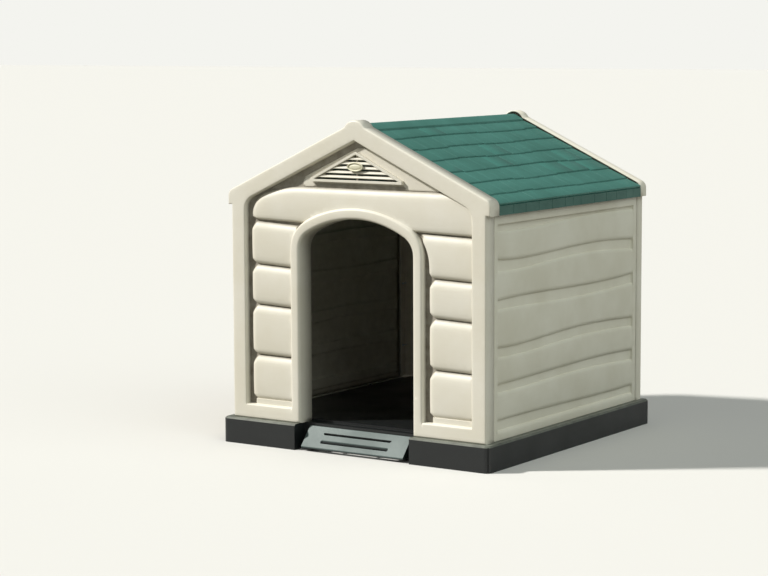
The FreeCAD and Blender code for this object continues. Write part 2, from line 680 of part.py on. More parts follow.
def make_end_wall(label, face, sign, seam, rim_depth, with_door):
    """A gable wall: border, recessed logs, side returns, and the rim that carries the roof ends."""
    side = "front" if sign > 0 else "rear"
    panel = end_slab(f"{side}_panel", face, sign, "0", seam, rectangle(
        f"-{WALL_HALF}", WALL_HALF, "plinth_height", "eave_height + wall_skin"))
    gable = end_slab(f"{side}_gable", face, sign, "0", rim_depth, rim_outline("0", "eave_height"))
    inner = f"({WALL_HALF} - wall_skin)"
    hollow = fuse(f"{side}_hollow", end_slab(f"{side}_low_hollow", face, sign, "wall_skin", f"{rim_depth} + 1", rectangle(
        f"-{inner}", inner, "plinth_height + wall_skin", "eave_height + wall_skin * 2")),
        end_slab(f"{side}_high_hollow", face, sign, "wall_skin", f"{rim_depth} + 1",
                 rim_outline("wall_skin", "(eave_height + wall_skin)")))
    cup = end_slab(f"{side}_cup", face, sign, "0", "recess_depth + wall_skin", recess_outline("wall_skin"))
    recess = end_slab(f"{side}_recess", face, sign, "-1", "recess_depth", recess_outline("0"))
    if with_door:
        tunnel = end_slab("door_tunnel", face, sign, "0", "reveal_depth", door_outline("wall_skin", "plinth_height"))
        cup = cut("front_cup_around_door", cup, end_slab(
            "door_channel", face, sign, "wall_skin", "recess_depth + wall_skin + 1",
            door_outline("(surround_width - wall_skin)", "(plinth_height + wall_skin)")))
        recess = cut("front_recess_around_door", recess, end_slab(
            "door_surround", face, sign, "-2", "recess_depth + 1",
            door_outline("surround_width", "(plinth_height - 1)")))
    shell = cut(f"{side}_shell", cut(f"{side}_box", fuse(f"{side}_blank", panel, gable), cut(
        f"{side}_space", hollow, cup)), recess)

    pieces = [shell]
    pockets = []
    for name, outline in log_outlines(with_door):
        left, right = outline[-2 if name != "brow_log" else -1][0], f"({WALL_HALF} - border_width)"
        sharp = right
        if name.startswith("left"):
            right = sharp = f"(-{DOOR_HALF} - surround_width)"
        if name == "brow_log":
            sharp = outline[3][0]
        pieces.append(rounded_log(f"{side}_{name}", face, sign, "log_face", outline, sharp))
        pockets.append(log_pocket(f"{side}_{name}_pocket", face, sign, outline, left, right))
    pieces.append(rounded_log(f"{side}_gable_log", face, sign, "gable_log_face", gable_log_outline(), "0"))
    post = f"({WALL_HALF} - corner_screw_inset)"
    for i, x in enumerate((post, f"(-{post})")):
        pieces.append(end_slab(f"{side}_screw_post_{i}", face, sign, "wall_skin / 2", seam, rectangle(
            f"{x} - boss_width / 2", f"{x} + boss_width / 2", "plinth_height", "eave_height")))
    openings = [end_slab(f"{side}_vent_hole", face, sign, "0", rim_depth, vent_opening("(vent_collar_wall + fit_clearance)"))]
    pocket_tool = fuse(f"{side}_pockets", *pockets)
    if with_door:
        pocket_tool = cut("front_pockets_beside_door", pocket_tool, end_slab(
            "door_surround_core", face, sign, "0", "recess_depth + wall_skin + 2",
            door_outline("surround_width", "plinth_height")))
        pieces.append(tunnel)
        openings.append(end_slab("doorway", face, sign, "-1", "reveal_depth + 1",
                                 door_outline("0", "(plinth_height - 1)")))
    for i, (x, y, z) in enumerate(corner_screws(face, sign, seam)):
        openings.append(end_hole(f"{side}_pilot_{i}", face, sign, x, z, "screw_shank",
                                     f"{seam} - corner_screw_length", f"{seam} + 1"))
    for i, (x, y) in enumerate(end_foot_screws(face, sign, seam)):
        openings.append(cored_hole(f"{side}_foot_hole_{i}", "z", (x, y, "plinth_height - 1"), "screw_hole", "wall_skin + 2"))
    keep(label, cut(f"{side}_wall", cut(f"{side}_wall_hollowed", fuse(f"{side}_wall_solid", *pieces), pocket_tool),
                    *openings))


def end_hole(name, face, sign, x, z, across, start, end):
    """A cored hole between two depths behind an end wall's face."""
    near = depth(face, sign, start) if sign > 0 else depth(face, sign, end)
    return cored_hole(name, "y", (x, near, z), across, f"({end}) - ({start})")


def corner_screws(face, sign, seam):
    """Screws that hold a side wall's end flange to an end wall's bosses."""
    x = f"({WALL_HALF} - corner_screw_inset)"
    y = depth(face, sign, seam)
    levels = [f"(corner_screw_foot + {i} * corner_screw_pitch)" for i in range(3)]
    return [(f"{mirrored}{x}", y, z) for mirrored in ("", "-") for z in levels]


# ---------------------------------------------------------------- side walls


def wave(y0, z0, y1, z1, swing):
    """Two arcs that carry an edge from one end of a groove to the other, up and down by a swing."""
    middle = (f"({y0} + {y1}) / 2", f"({z0} + {z1}) / 2")
    radius = f"((({y1} - {y0}) / 4) ^ 2 / 2 / groove_wave + groove_wave / 2)"
    return [(y0, z0, radius, swing), (*middle, radius, -swing)]


def groove_outlines():
    """The five wavy grooves and the strips that end the field, as seen from the side."""
    y0, y1 = f"({FRONT_FACE} + field_front)", f"({REAR_FACE} - field_rear)"
    outlines = [
        [(y0, "field_foot"), (y1, "field_foot"), (y1, "groove_foot_top"), (y0, "groove_foot_top")],
        wave(y0, "groove_head_foot", y1, "groove_head_foot + groove_wave", 1) + [(y1, "field_top"), (y0, "field_top")],
    ]
    for i, swing in enumerate((1, 1, -1, 1), start=1):
        low, high = f"(groove_line_{i} - groove_height / 2)", f"(groove_line_{i} + groove_height / 2)"
        outlines.append(wave(y0, low, y1, low, swing) + wave(y1, high, y0, high, swing))
    return outlines


def make_side_wall():
    """A side wall: a framed field of boards, a foot flange, a roof flange and a tongue at each end."""
    top = f"({ROOF_UNDER} - {WALL_HALF} * {SLOPE})"
    flange_top = f"({ROOF_UNDER} - {FLANGE_INNER} * {SLOPE})"
    inner_top = f"({ROOF_UNDER} - {SIDE_INNER} * {SLOPE} - wall_skin)"
    section = [
        (FLANGE_INNER, "plinth_height"), (WALL_HALF, "plinth_height"), (WALL_HALF, top),
        (FLANGE_INNER, flange_top), (FLANGE_INNER, f"{flange_top} - wall_skin"), (SIDE_INNER, inner_top),
        (SIDE_INNER, "plinth_height + wall_skin"), (FLANGE_INNER, "plinth_height + wall_skin")]
    slab = extrude("side_slab", "front", FRONT_SEAM, REAR_SEAM, section)
    face = f"({WALL_HALF} - groove_depth)"
    grooves = extrude("side_grooves", "side", face, f"({WALL_HALF} + 1)", *groove_outlines())

    levels = ["(groove_foot_top)"]
    for i in range(1, 5):
        levels += [f"(groove_line_{i} - groove_height / 2)", f"(groove_line_{i} + groove_height / 2)"]
    levels.append("(groove_head_foot)")
    y0, y1 = f"({FRONT_FACE} + field_front + board_inset)", f"({REAR_FACE} - field_rear - board_inset)"
    hollows = []
    for i in range(5):
        low, high = f"{levels[2 * i]} + board_inset", f"{levels[2 * i + 1]} - board_inset"
        hollows.append(block(f"board_hollow_{i}", (f"{SIDE_INNER} - 1", f"{WALL_HALF} - wall_skin"),
                             (y0, y1), (low, high)))

    tongue_out = f"({WALL_HALF} - wall_skin - fit_clearance)"
    tongue = (f"{tongue_out} - wall_skin", tongue_out)
    tongue_z = ("(plinth_height + wall_skin + fit_clearance)", "(eave_height - wall_skin)")
    end_flange = (f"({WALL_HALF} - corner_screw_inset - boss_width / 2)", f"({SIDE_INNER} + wall_skin / 2)")
    added = []
    for name, seam, sign in (("front", FRONT_SEAM, 1), ("rear", REAR_SEAM, -1)):
        tip, root = f"({seam} - {sign} * tongue_length)", f"({seam} + {sign} * wall_skin)"
        added.append(block(f"{name}_tongue", tongue, (tip, root) if sign > 0 else (root, tip), tongue_z))
        added.append(block(f"{name}_end_flange", end_flange, (seam, root) if sign > 0 else (root, seam),
                           ("plinth_height", f"{inner_top}")))
    holes = []
    for face_, sign, seam in ((FRONT_FACE, 1, "front_return"), (REAR_FACE, -1, "rear_return")):
        for i, (x, y, z) in enumerate(corner_screws(face_, sign, seam)[:3]):
            start = f"{y} - 1" if sign > 0 else f"{y} - wall_skin - 1"
            holes.append(cored_hole(f"side_corner_hole_{sign + 1}_{i}", "y", (x, start, z), "screw_hole", "wall_skin + 2"))
    for i, (x, y) in enumerate(side_foot_screws()):
        holes.append(cored_hole(f"side_foot_hole_{i}", "z", (x, y, "plinth_height - 1"), "screw_hole", "wall_skin + 2"))
    for i, y in enumerate(eave_screw_places()):
        hole = cored_hole(f"side_eave_hole_{i}", "z", (EAVE_SCREW_X, y, "0"), "screw_hole", "wall_skin * 4")
        tilt_with_roof(hole, "-wall_skin * 2.5")
        holes.append(hole)
    wall = cut("right_wall_part", fuse("side_solid", slab, *added), grooves, *hollows, *holes)
    keep("right_wall", wall)
    keep("left_wall", mirror("left_wall_part", wall))


# ---------------------------------------------------------------- roof

EAVE_SCREW_X = f"({SIDE_INNER} - seat_flange / 2)"


def eave_screw_places():
    return ["-eave_screw_along", "0", "eave_screw_along"]


def tilt_with_roof(piece, below):
    """Turns an upright rod square to the roof, starting below the panel's underside."""
    piece.Placement = FreeCAD.Placement(piece.Placement.Base, FreeCAD.Rotation(Vector(0, 1, 0), value("roof_angle")))
    piece.setExpression("Placement.Base.x", formula(f"{EAVE_SCREW_X} + ({below}) * sin(roof_angle)"))
    piece.setExpression("Placement.Base.z", formula(
        f"{ROOF_UNDER} - {EAVE_SCREW_X} * {SLOPE} + ({below}) * cos(roof_angle)"))


def make_roof_panels():
    """A roof panel: stepped shingle courses, an eave fascia and plain ends that slip under the rims."""
    half = RIM_HALF
    edge = "(ridge_gap / 2)"

    def surface(x, drop):
        return (x, f"{ROOF_TOP} - {x} * {SLOPE} + {drop}")

    def under(x):
        return (x, f"{ROOF_UNDER} - {x} * {SLOPE}")

    courses = [surface(edge, "0"), surface("ridge_cap_half", "0")]
    for i in range(6):
        line = f"((course_first + {i} * course_pitch) * cos(roof_angle))"
        courses += [surface(line, "course_step"), surface(line, "0")]
    eave_top = "(eave_height + fascia_height)"
    courses.append((half, eave_top))
    lip = f"({WALL_HALF} + fit_clearance)"
    section = courses + [
        (half, "eave_height"), (lip, "eave_height"), (lip, "eave_height + wall_skin"),
        (f"{half} - wall_skin", "eave_height + wall_skin"),
        (f"{half} - wall_skin", f"{ROOF_UNDER} - ({half} - wall_skin) * {SLOPE}"),
        under(edge)]
    front = f"({FRONT_FACE} + front_rim_depth + fit_clearance)"
    rear = f"({REAR_FACE} - rear_rim_depth - fit_clearance)"
    panel = extrude("roof_panel_shape", "front", front, rear, list(reversed(section)))

    skin = f"({RIM_APEX} - (wall_skin + fit_clearance) / cos(roof_angle))"
    end = f"({half} - wall_skin - fit_clearance)"
    slip = [under(edge), under(end), (end, f"{skin} - {end} * {SLOPE}"), (edge, f"{skin} - {edge} * {SLOPE}")]
    slips = [
        extrude("front_slip", "front", f"({front} - roof_slip)", f"({front} + 1)", slip),
        extrude("rear_slip", "front", f"({rear} - 1)", f"({rear} + roof_slip)", slip)]
    holes = []
    for i, y in enumerate(eave_screw_places()):
        hole = cored_hole(f"roof_pilot_{i}", "z", (EAVE_SCREW_X, y, "0"), "screw_shank", "roof_thickness * 0.7 + 1")
        tilt_with_roof(hole, "-1")
        holes.append(hole)
    roof = cut("right_roof_part", fuse("roof_solid", panel, *slips), *holes)
    keep("right_roof_panel", roof)
    keep("left_roof_panel", mirror("left_roof_part", roof))


def make_ridge_cap():
    """The ridge cap: a rounded saddle with a barbed web that snaps down between the panels."""
    top = f"({ROOF_TOP} + ridge_cap_skin)"
    round_ = "(ridge_cap_half / 4)"
    radius = f"({round_} / sin(roof_angle))"
    web = "(ridge_web / 2)"
    barb = f"({ROOF_UNDER} - (ridge_barb / 2) * {SLOPE} - fit_clearance)"
    neck = f"({ROOF_TOP} - {web} * {SLOPE})"
    section = [
        (web, neck), ("ridge_cap_half", f"{ROOF_TOP} - ridge_cap_half * {SLOPE}"),
        ("ridge_cap_half", f"{top} - ridge_cap_half * {SLOPE}"), (round_, f"{top} - {round_} * {SLOPE}", radius, 1),
        (f"-{round_}", f"{top} - {round_} * {SLOPE}"),
        ("-ridge_cap_half", f"{top} - ridge_cap_half * {SLOPE}"),
        ("-ridge_cap_half", f"{ROOF_TOP} - ridge_cap_half * {SLOPE}"), (f"-{web}", neck),
        (f"-{web}", f"{barb} + fit_clearance"), ("-ridge_barb / 2", barb), (f"-{web}", f"{barb} - ridge_barb / 2"),
        (web, f"{barb} - ridge_barb / 2"), ("ridge_barb / 2", barb), (web, f"{barb} + fit_clearance")]
    front = f"({FRONT_FACE} + front_rim_depth + fit_clearance)"
    rear = f"({REAR_FACE} - rear_rim_depth - fit_clearance)"
    keep("ridge_cap", extrude("ridge_cap_part", "front", front, rear, section))


# ---------------------------------------------------------------- gable vents


def oval(width, height, centre, grow):
    """An oval of two wide and two tight arcs."""
    half, tall = f"({width} / 2 + {grow})", f"({height} / 2 + {grow})"
    tight = f"({tall} * 0.62)"
    reach, rise = f"({half} - {tight})", tall
    wide = f"(({reach} ^ 2 + {rise} ^ 2 - {tight} ^ 2) / 2 / ({rise} - {tight}))"
    share = f"({wide} / ({wide} - {tight}))"
    x, z = f"{reach} * {share}", f"({rise} - {wide} + ({wide} - {rise}) * {share})"
    return [(x, f"{centre} - {z}", tight, 1), (x, f"{centre} + {z}", wide, 1),
            (f"-{x}", f"{centre} + {z}", tight, 1), (f"-{x}", f"{centre} - {z}", wide, 1)]


def make_vent(label, face, sign, with_badge):
    """A gable vent: frame, collar, tilted slats and an upright rib, with a seat for the badge at the front."""
    side = "front" if sign > 0 else "rear"
    frame = end_slab(f"{side}_vent_frame", face, sign, "vent_face", "gable_log_face", vent_outline())
    collar = end_slab(f"{side}_vent_collar", face, sign, "vent_face", "gable_log_face + vent_collar",
                      vent_opening("vent_collar_wall"))
    opening = end_slab(f"{side}_louvre_opening", face, sign, "vent_face - 1", "gable_log_face + vent_collar + 1",
                       vent_opening("0"))
    ring = cut(f"{side}_vent_ring", fuse(f"{side}_vent_body", frame, collar), opening)
    slats = []
    for i in range(round(value("slat_count"))):
        level = f"(slat_first + {i} * slat_pitch)"
        rise, run = "(slat_height / 2 * sin(slat_tilt))", "(slat_height / 2 * cos(slat_tilt))"
        up, across = "(slat_skin / 2 * cos(slat_tilt))", "(slat_skin / 2 * sin(slat_tilt))"
        middle = f"(vent_face + {run} + {across})"
        corners = [(f"{middle} - {run} - {across}", f"{level} - {rise} + {up}"),
                   (f"{middle} - {run} + {across}", f"{level} - {rise} - {up}"),
                   (f"{middle} + {run} + {across}", f"{level} + {rise} - {up}"),
                   (f"{middle} + {run} - {across}", f"{level} + {rise} + {up}")]
        slats.append(extrude(f"{side}_slat_{i}", "side", "-vent_width / 2", "vent_width / 2",
                             [(depth(face, sign, y), z) for y, z in corners]))
    rib_x = ("-vent_rib / 2", "vent_rib / 2")
    rib_y = [depth(face, sign, "vent_face + slat_height * 0.6"), depth(face, sign, "gable_log_face + vent_collar")]
    slats.append(block(f"{side}_vent_rib", rib_x, rib_y if sign > 0 else rib_y[::-1], ("vent_foot", "vent_apex")))
    plate = vent_opening("vent_collar_wall / 2")
    space = end_slab(f"{side}_louvre_space", face, sign, "vent_face", "gable_log_face + vent_collar", plate)
    louvre = common(f"{side}_louvre", fuse(f"{side}_slats", *slats), space)
    pieces = [ring, louvre]
    if with_badge:
        pieces.append(end_slab("badge_seat_plate", face, sign, "vent_face", "vent_face + badge_seat",
                               oval("badge_width", "badge_height", "badge_centre", "-1")))
    keep(label, fuse(f"{side}_vent_part", *pieces))


def make_badge():
    """The oval badge: a plain plate with a raised bare field and two pins behind."""
    plate = end_slab("badge_plate", FRONT_FACE, 1, "vent_face - badge_rim", "vent_face",
                     oval("badge_width", "badge_height", "badge_centre", "0"))
    field = end_slab("badge_field", FRONT_FACE, 1, "vent_face - badge_rim - badge_dome", "vent_face - badge_rim / 2",
                     oval("badge_width", "badge_height", "badge_centre", "-badge_rim"))
    keep("vent_badge", fuse("badge_part", plate, field))


# ---------------------------------------------------------------- screws


def screw(name, axis, place, length, head_first):
    """A hexagon-head screw that enters along an axis: the head seats at place, the shank runs on from there."""
    letter = "xyz".index(axis)
    low = list(place)
    low[letter] = f"({place[letter]}) - {length}" if head_first else place[letter]
    shank = prism(f"{name}_shank", axis, low, 8, "screw_shank - fit_clearance", length)
    head_at = list(place)
    if not head_first:
        head_at[letter] = f"({place[letter]}) - screw_head_height"
    head = prism(f"{name}_head", axis, head_at, 6, "screw_head", "screw_head_height")
    return fuse(name, shank, head)


def make_screws():
    corner, foot, step = [], [], []
    for face, sign, seam in ((FRONT_FACE, 1, "front_return"), (REAR_FACE, -1, "rear_return")):
        for i, (x, y, z) in enumerate(corner_screws(face, sign, seam)):
            seat = f"{y} + {sign} * wall_skin"
            corner.append(screw(f"corner_screw_{sign + 1}_{i}", "y", (x, seat, z), "corner_screw_length", sign > 0))
    for i, (x, y) in enumerate(foot_screws()):
        foot.append(screw(f"foot_screw_{i}", "z", (x, y, "plinth_height + wall_skin"), "foot_screw_length", True))
    for i, (x, y, z) in enumerate(step_screws()):
        step.append(screw(f"step_screw_{i}", "y", (x, f"{y} - step_plate", z), "base_wall * 3", False))
    eave = []
    for i, y in enumerate(eave_screw_places()):
        shank = prism(f"eave_shank_{i}", "z", (EAVE_SCREW_X, y, "0"), 8, "screw_shank - fit_clearance",
                      "wall_skin + roof_thickness * 0.6")
        head = prism(f"eave_head_{i}", "z", (EAVE_SCREW_X, y, "0"), 6, "screw_head", "screw_head_height")
        flange = "wall_skin * cos(roof_angle)"
        tilt_with_roof(shank, f"-{flange}")
        tilt_with_roof(head, f"-{flange} - screw_head_height")
        right = fuse(f"eave_screw_{i}", shank, head)
        eave += [right, mirror(f"eave_screw_left_{i}", right)]
    for label, group in (("wall_corner_screws", corner), ("wall_foot_screws", foot), ("entry_step_screws", step),
                         ("eave_screws", eave)):
        compound = doc.addObject("Part::Compound", f"{label}_group")
        compound.Links = group
        keep(label, compound)


make_base()
make_entry_step()
make_end_wall("front_wall", FRONT_FACE, 1, "front_return", "front_rim_depth", True)
make_end_wall("rear_wall", REAR_FACE, -1, "rear_return", "rear_rim_depth", False)
make_side_wall()
make_roof_panels()
make_ridge_cap()
make_vent("front_vent_grille", FRONT_FACE, 1, True)
make_vent("rear_vent_grille", REAR_FACE, -1, False)
make_badge()
make_screws()

doc.recompute()
failed = [item.Name for item in doc.Objects if {"Invalid", "Error"} & set(item.State)]
if failed:
    raise RuntimeError(f"features that failed: {failed}")
os.makedirs("parts", exist_ok=True)
for label, piece in parts.items():
    if piece.Shape.isNull() or not piece.Shape.isValid():
        raise RuntimeError(f"{label} has no valid shape")
for label, piece in parts.items():
    piece.Shape.exportStep(f"parts/{label}.step")
print(f"{len(parts)} sub-parts written")
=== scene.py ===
"""Dog house in moulded resin: ivory walls with relief logs, a green shingled roof and a dark plinth."""

import math
from functools import partial

import bpy
import numpy as np
from mathutils import Matrix, Vector, kdtree
from mathutils.geometry import delaunay_2d_cdt


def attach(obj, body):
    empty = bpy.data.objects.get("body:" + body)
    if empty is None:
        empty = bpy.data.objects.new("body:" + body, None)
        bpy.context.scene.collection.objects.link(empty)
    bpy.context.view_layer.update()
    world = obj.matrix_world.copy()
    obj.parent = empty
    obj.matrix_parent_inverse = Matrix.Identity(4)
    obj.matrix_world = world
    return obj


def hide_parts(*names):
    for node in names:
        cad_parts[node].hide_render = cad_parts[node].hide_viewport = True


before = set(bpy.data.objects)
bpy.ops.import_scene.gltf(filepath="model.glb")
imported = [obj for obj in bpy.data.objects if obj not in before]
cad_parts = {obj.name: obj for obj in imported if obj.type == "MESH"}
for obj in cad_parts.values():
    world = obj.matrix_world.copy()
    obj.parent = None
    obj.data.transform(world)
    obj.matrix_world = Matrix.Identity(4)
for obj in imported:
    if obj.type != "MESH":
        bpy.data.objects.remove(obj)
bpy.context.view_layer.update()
scene = bpy.context.scene

# ---- sizes, millimetres

# Thickness of every moulded wall.
PANEL_SKIN = 3.5

# End walls: their faces, the seams with the side walls, how far the edges turn back at the seam and at the rim,
# and the line where the wall gives way to the rim.
FRONT_FACE, REAR_FACE = -471, 481
FRONT_SEAM, REAR_SEAM = -426, 443
FRONT_RETURNS, REAR_RETURNS = (44, 50), (37, 40)
WALL_HALF = 451
WALL_FOOT = 78
EAVE = 728

# Roof slope of 25 degrees; a corner between a slope and an upright edge turns by 65.
SLOPE = math.tan(math.radians(25))
SLOPE_COS = math.cos(math.radians(25))
SLOPE_SIN = math.sin(math.radians(25))
TURN = 65
HALF_TURN = math.tan(math.radians(TURN / 2))

# Rim over the roof's ends, with a low crown at its apex.
RIM_HALF = 465
RIM_APEX = 986
RIM_CORNER = 26
RIM_EDGE = 5
CROWN_HALF, CROWN_RISE = 35, 4

# Field inside the border, where the logs lie.
BORDER = 50
BORDER_ROUND = 3.5
RECESS_HALF = 403
RECESS_FOOT = 120
RECESS_APEX = RIM_APEX - BORDER / SLOPE_COS
RECESS_CORNER = 45
RECESS_SHOULDER = RECESS_APEX - RECESS_HALF * SLOPE - RECESS_CORNER * HALF_TURN
RECESS_DEPTH = 22

# Doorway: upright jambs, two small corner arcs and one large crown arc.
DOOR_HALF = 202
DOOR_SPRING = 601
DOOR_TOP = 700
DOOR_CORNER = 62
DOOR_REACH = DOOR_HALF - DOOR_CORNER
DOOR_RISE = DOOR_TOP - DOOR_SPRING
DOOR_CROWN = (DOOR_REACH ** 2 + DOOR_RISE ** 2 - DOOR_CORNER ** 2) / 2 / (DOOR_RISE - DOOR_CORNER)
DOOR_CENTRE = DOOR_TOP - DOOR_CROWN
DOOR_EDGE = 9
SURROUND, SURROUND_ROUND = 33, 8
REVEAL = 63

# Where rows of points follow the border's and the surround's edges.
BORDER_ROWS = (-BORDER_ROUND, -BORDER_ROUND * 0.62, -BORDER_ROUND * 0.25, 0.0, 2.7)
SURROUND_ROWS = (-SURROUND_ROUND, -5.5, -3.2, -1.4, -0.3, 2.0)
# How many millimetres a relief's wall falls in one.
WALL_FALL = 7

# Logs: depth of their faces behind the wall's face, their roundings and the gap between two of them.
LOG_FACE = 6
LOG_TOP_ROUND = 27
LOG_FOOT_ROUND = 16
LOG_END_ROUND = 21
LOG_CROWN = 3.6
LOG_GAP = 1.0
LOWEST_LOG = 136
CORNER_POWER = 1.3
SILL_DEPTH = 9
LOG_LEFT, LOG_RIGHT = -387, 427
# Each column's ends and, for every line between its logs, the heights at those ends.
COLUMNS = {
    "left": (LOG_LEFT, -218.5,
             [(LOWEST_LOG, LOWEST_LOG), (273, 270.5), (427.5, 421), (550.5, 542.5), (682, 673)]),
    "right": (251, LOG_RIGHT, [(LOWEST_LOG, LOWEST_LOG), (275.5, 272), (426, 419.5), (540.5, 535), (669, 663)]),
    "full": (LOG_LEFT, LOG_RIGHT, [(LOWEST_LOG, LOWEST_LOG), (274, 270.5), (428, 421), (547, 541), (677, 670)]),
}
# The brow log's foot line: two heights and where they hold.
FRONT_BROW, REAR_BROW = (684, 668, LOG_LEFT, 300), (677, 670, LOG_LEFT, LOG_RIGHT)
# The gable log's sharp end, which gets a finer grid: (from, to) across and up.
SHARP_END = ((-200, -150), (798, 850))

# Side walls: a field of boards with grooves between them.
BOARD_DEPTH = 9
BOARD_FOOT_ROUND, BOARD_HEAD_ROUND = 13, 12
BOARD_CROWN = 2.2
FIELD = (-407, 419)
FIELD_ROUND, FIELD_TOP_ROUND = 7, 2.0
SIDE_EDGE, SIDE_RETURN, SEAM_GAP = 2.5, 14.0, 2.0
UNDER_ROOF = EAVE + 20

# Gable vents.
VENT_HALF, VENT_FOOT, VENT_END, VENT_APEX = 162, 807, 817, 898
VENT_HOLE = [(150, 812), (150, 816.5), (0, 891.5), (-150, 816.5), (-150, 812)]
VENT_FACE, VENT_BACK = 8, 30
LOUVRE_HALF, LOUVRE_FOOT = 148, 814
LOUVRE_APEX = VENT_APEX - 7 * math.sqrt(1.25)
SLAT_COUNT, SLAT_FIRST, SLAT_PITCH, SLAT_DEPTH = 5, 824, 13.5, 15
SLAT_REACH, SLAT_SKIN, SLAT_TILT = 5.5, 2.2, 40
RIB_HALF, RIB_FOOT, RIB_TOP, RIB_FRONT, RIB_BACK = 1.5, 812, 888, 16, 22

# Badge: its centre's height, and its rings (half width, half height, depth behind the wall's face).
BADGE_HEIGHT = 854
BADGE_RINGS = [
    (26, 12, 9), (28, 13.5, 8), (28, 13.5, 5.6), (27.4, 12.9, 4.2), (26, 11.7, 3.4), (24.6, 10.4, 3.9),
    (23.8, 9.6, 5.6), (23.2, 9.1, 7.0), (22.2, 8.3, 7.4), (21.2, 7.6, 6.6), (17, 6, 5.4), (9, 3.2, 4.9)]

# Roof: each course's start down the slope, the step at its foot, the fascia and the ridge saddle.
ROOF_TOP = 976.5
ROOF_FRONT, ROOF_REAR = -420.7, 440.7
SADDLE_HALF, SADDLE_RISE = 38, 5.5
COURSES = (SADDLE_HALF / SLOPE_COS, 100, 171.8, 243.6, 315.4, 387.2, 459, 512.4)
COURSE_STEP = 3.2
TAB_SKIN = 4
FASCIA_FACE, FASCIA_DROP = 465, 27

# How fully the inner side of a wall is darkened with painted shade, as a share of the deepest gutter.
INSIDE_SHADE = 0.7
# Shares of a rounding at which a relief's edge gets a row of points.
ROUND_ROWS = (1.0, 0.985, 0.95, 0.89, 0.8, 0.68, 0.52, 0.34, 0.15)

# ---- materials


def linear(hex_colour):
    """An sRGB hex value as linear RGBA."""
    parts = [int(hex_colour[i:i + 2], 16) / 255 for i in (1, 3, 5)]
    return [c / 12.92 if c <= 0.04045 else ((c + 0.055) / 1.055) ** 2.4 for c in parts] + [1.0]


def add(tree, kind, settings=None, **links):
    """Adds a node; settings are its properties and input values, links its inputs' sources."""
    node = tree.nodes.new(kind)
    for name, setting in (settings or {}).items():
        if isinstance(name, str) and hasattr(node, name):
            setattr(node, name, setting)
        else:
            node.inputs[name].default_value = setting
    for name, source in links.items():
        socket = node.inputs[int(name[1:])] if name[1:].isdigit() else node.inputs[name.replace("_", " ")]
        tree.links.new(source, socket)
    return node


def maths(tree, operation, first, second=None):
    """One sum on two fields or numbers."""
    node = add(tree, "ShaderNodeMath", {"operation": operation})
    for socket, source in zip(node.inputs, (first, second)):
        if source is None:
            continue
        if isinstance(source, (int, float)):
            socket.default_value = source
        else:
            tree.links.new(source, socket)
    return node.outputs[0]


def ramp(tree, source, low, high, bottom=0.0, top=1.0):
    """Maps a value from one range to another, held at both ends."""
    return add(tree, "ShaderNodeMapRange", {"From Min": low, "From Max": high, "To Min": bottom, "To Max": top},
               Value=source).outputs["Result"]


def mix(tree, share, first, second):
    """Mixes two colours; each is a socket or an sRGB hex value."""
    node = add(tree, "ShaderNodeMix", {"data_type": "RGBA"})
    for socket, source in ((node.inputs[0], share), (node.inputs[6], first), (node.inputs[7], second)):
        if isinstance(source, str):
            socket.default_value = linear(source)
        else:
            tree.links.new(source, socket)
    return node.outputs[2]


def noise(tree, place, size, detail=2.0, stretch=(1, 1, 1)):
    """A noise pattern whose features are about size millimetres across."""
    mapped = add(tree, "ShaderNodeMapping", {"Scale": stretch}, Vector=place).outputs[0]
    return add(tree, "ShaderNodeTexNoise", {"Scale": 1000 / size, "Detail": detail, "Roughness": 0.55},
               Vector=mapped).outputs["Fac"]


# Sizes of the resin's patterns in mm. The real grain is about 0.3 mm; it is drawn coarser so that it shows.
MOTTLE, STREAKS, FINE_STREAKS, PATCHES = 140, 9, 5, 30


def new_material(name):
    """A material, its tree, its shader and the coordinates its patterns use."""
    material = bpy.data.materials.new(name)
    material.use_nodes = True
    tree = material.node_tree
    return material, tree, tree.nodes["Principled BSDF"], add(tree, "ShaderNodeTexCoord").outputs["Object"]


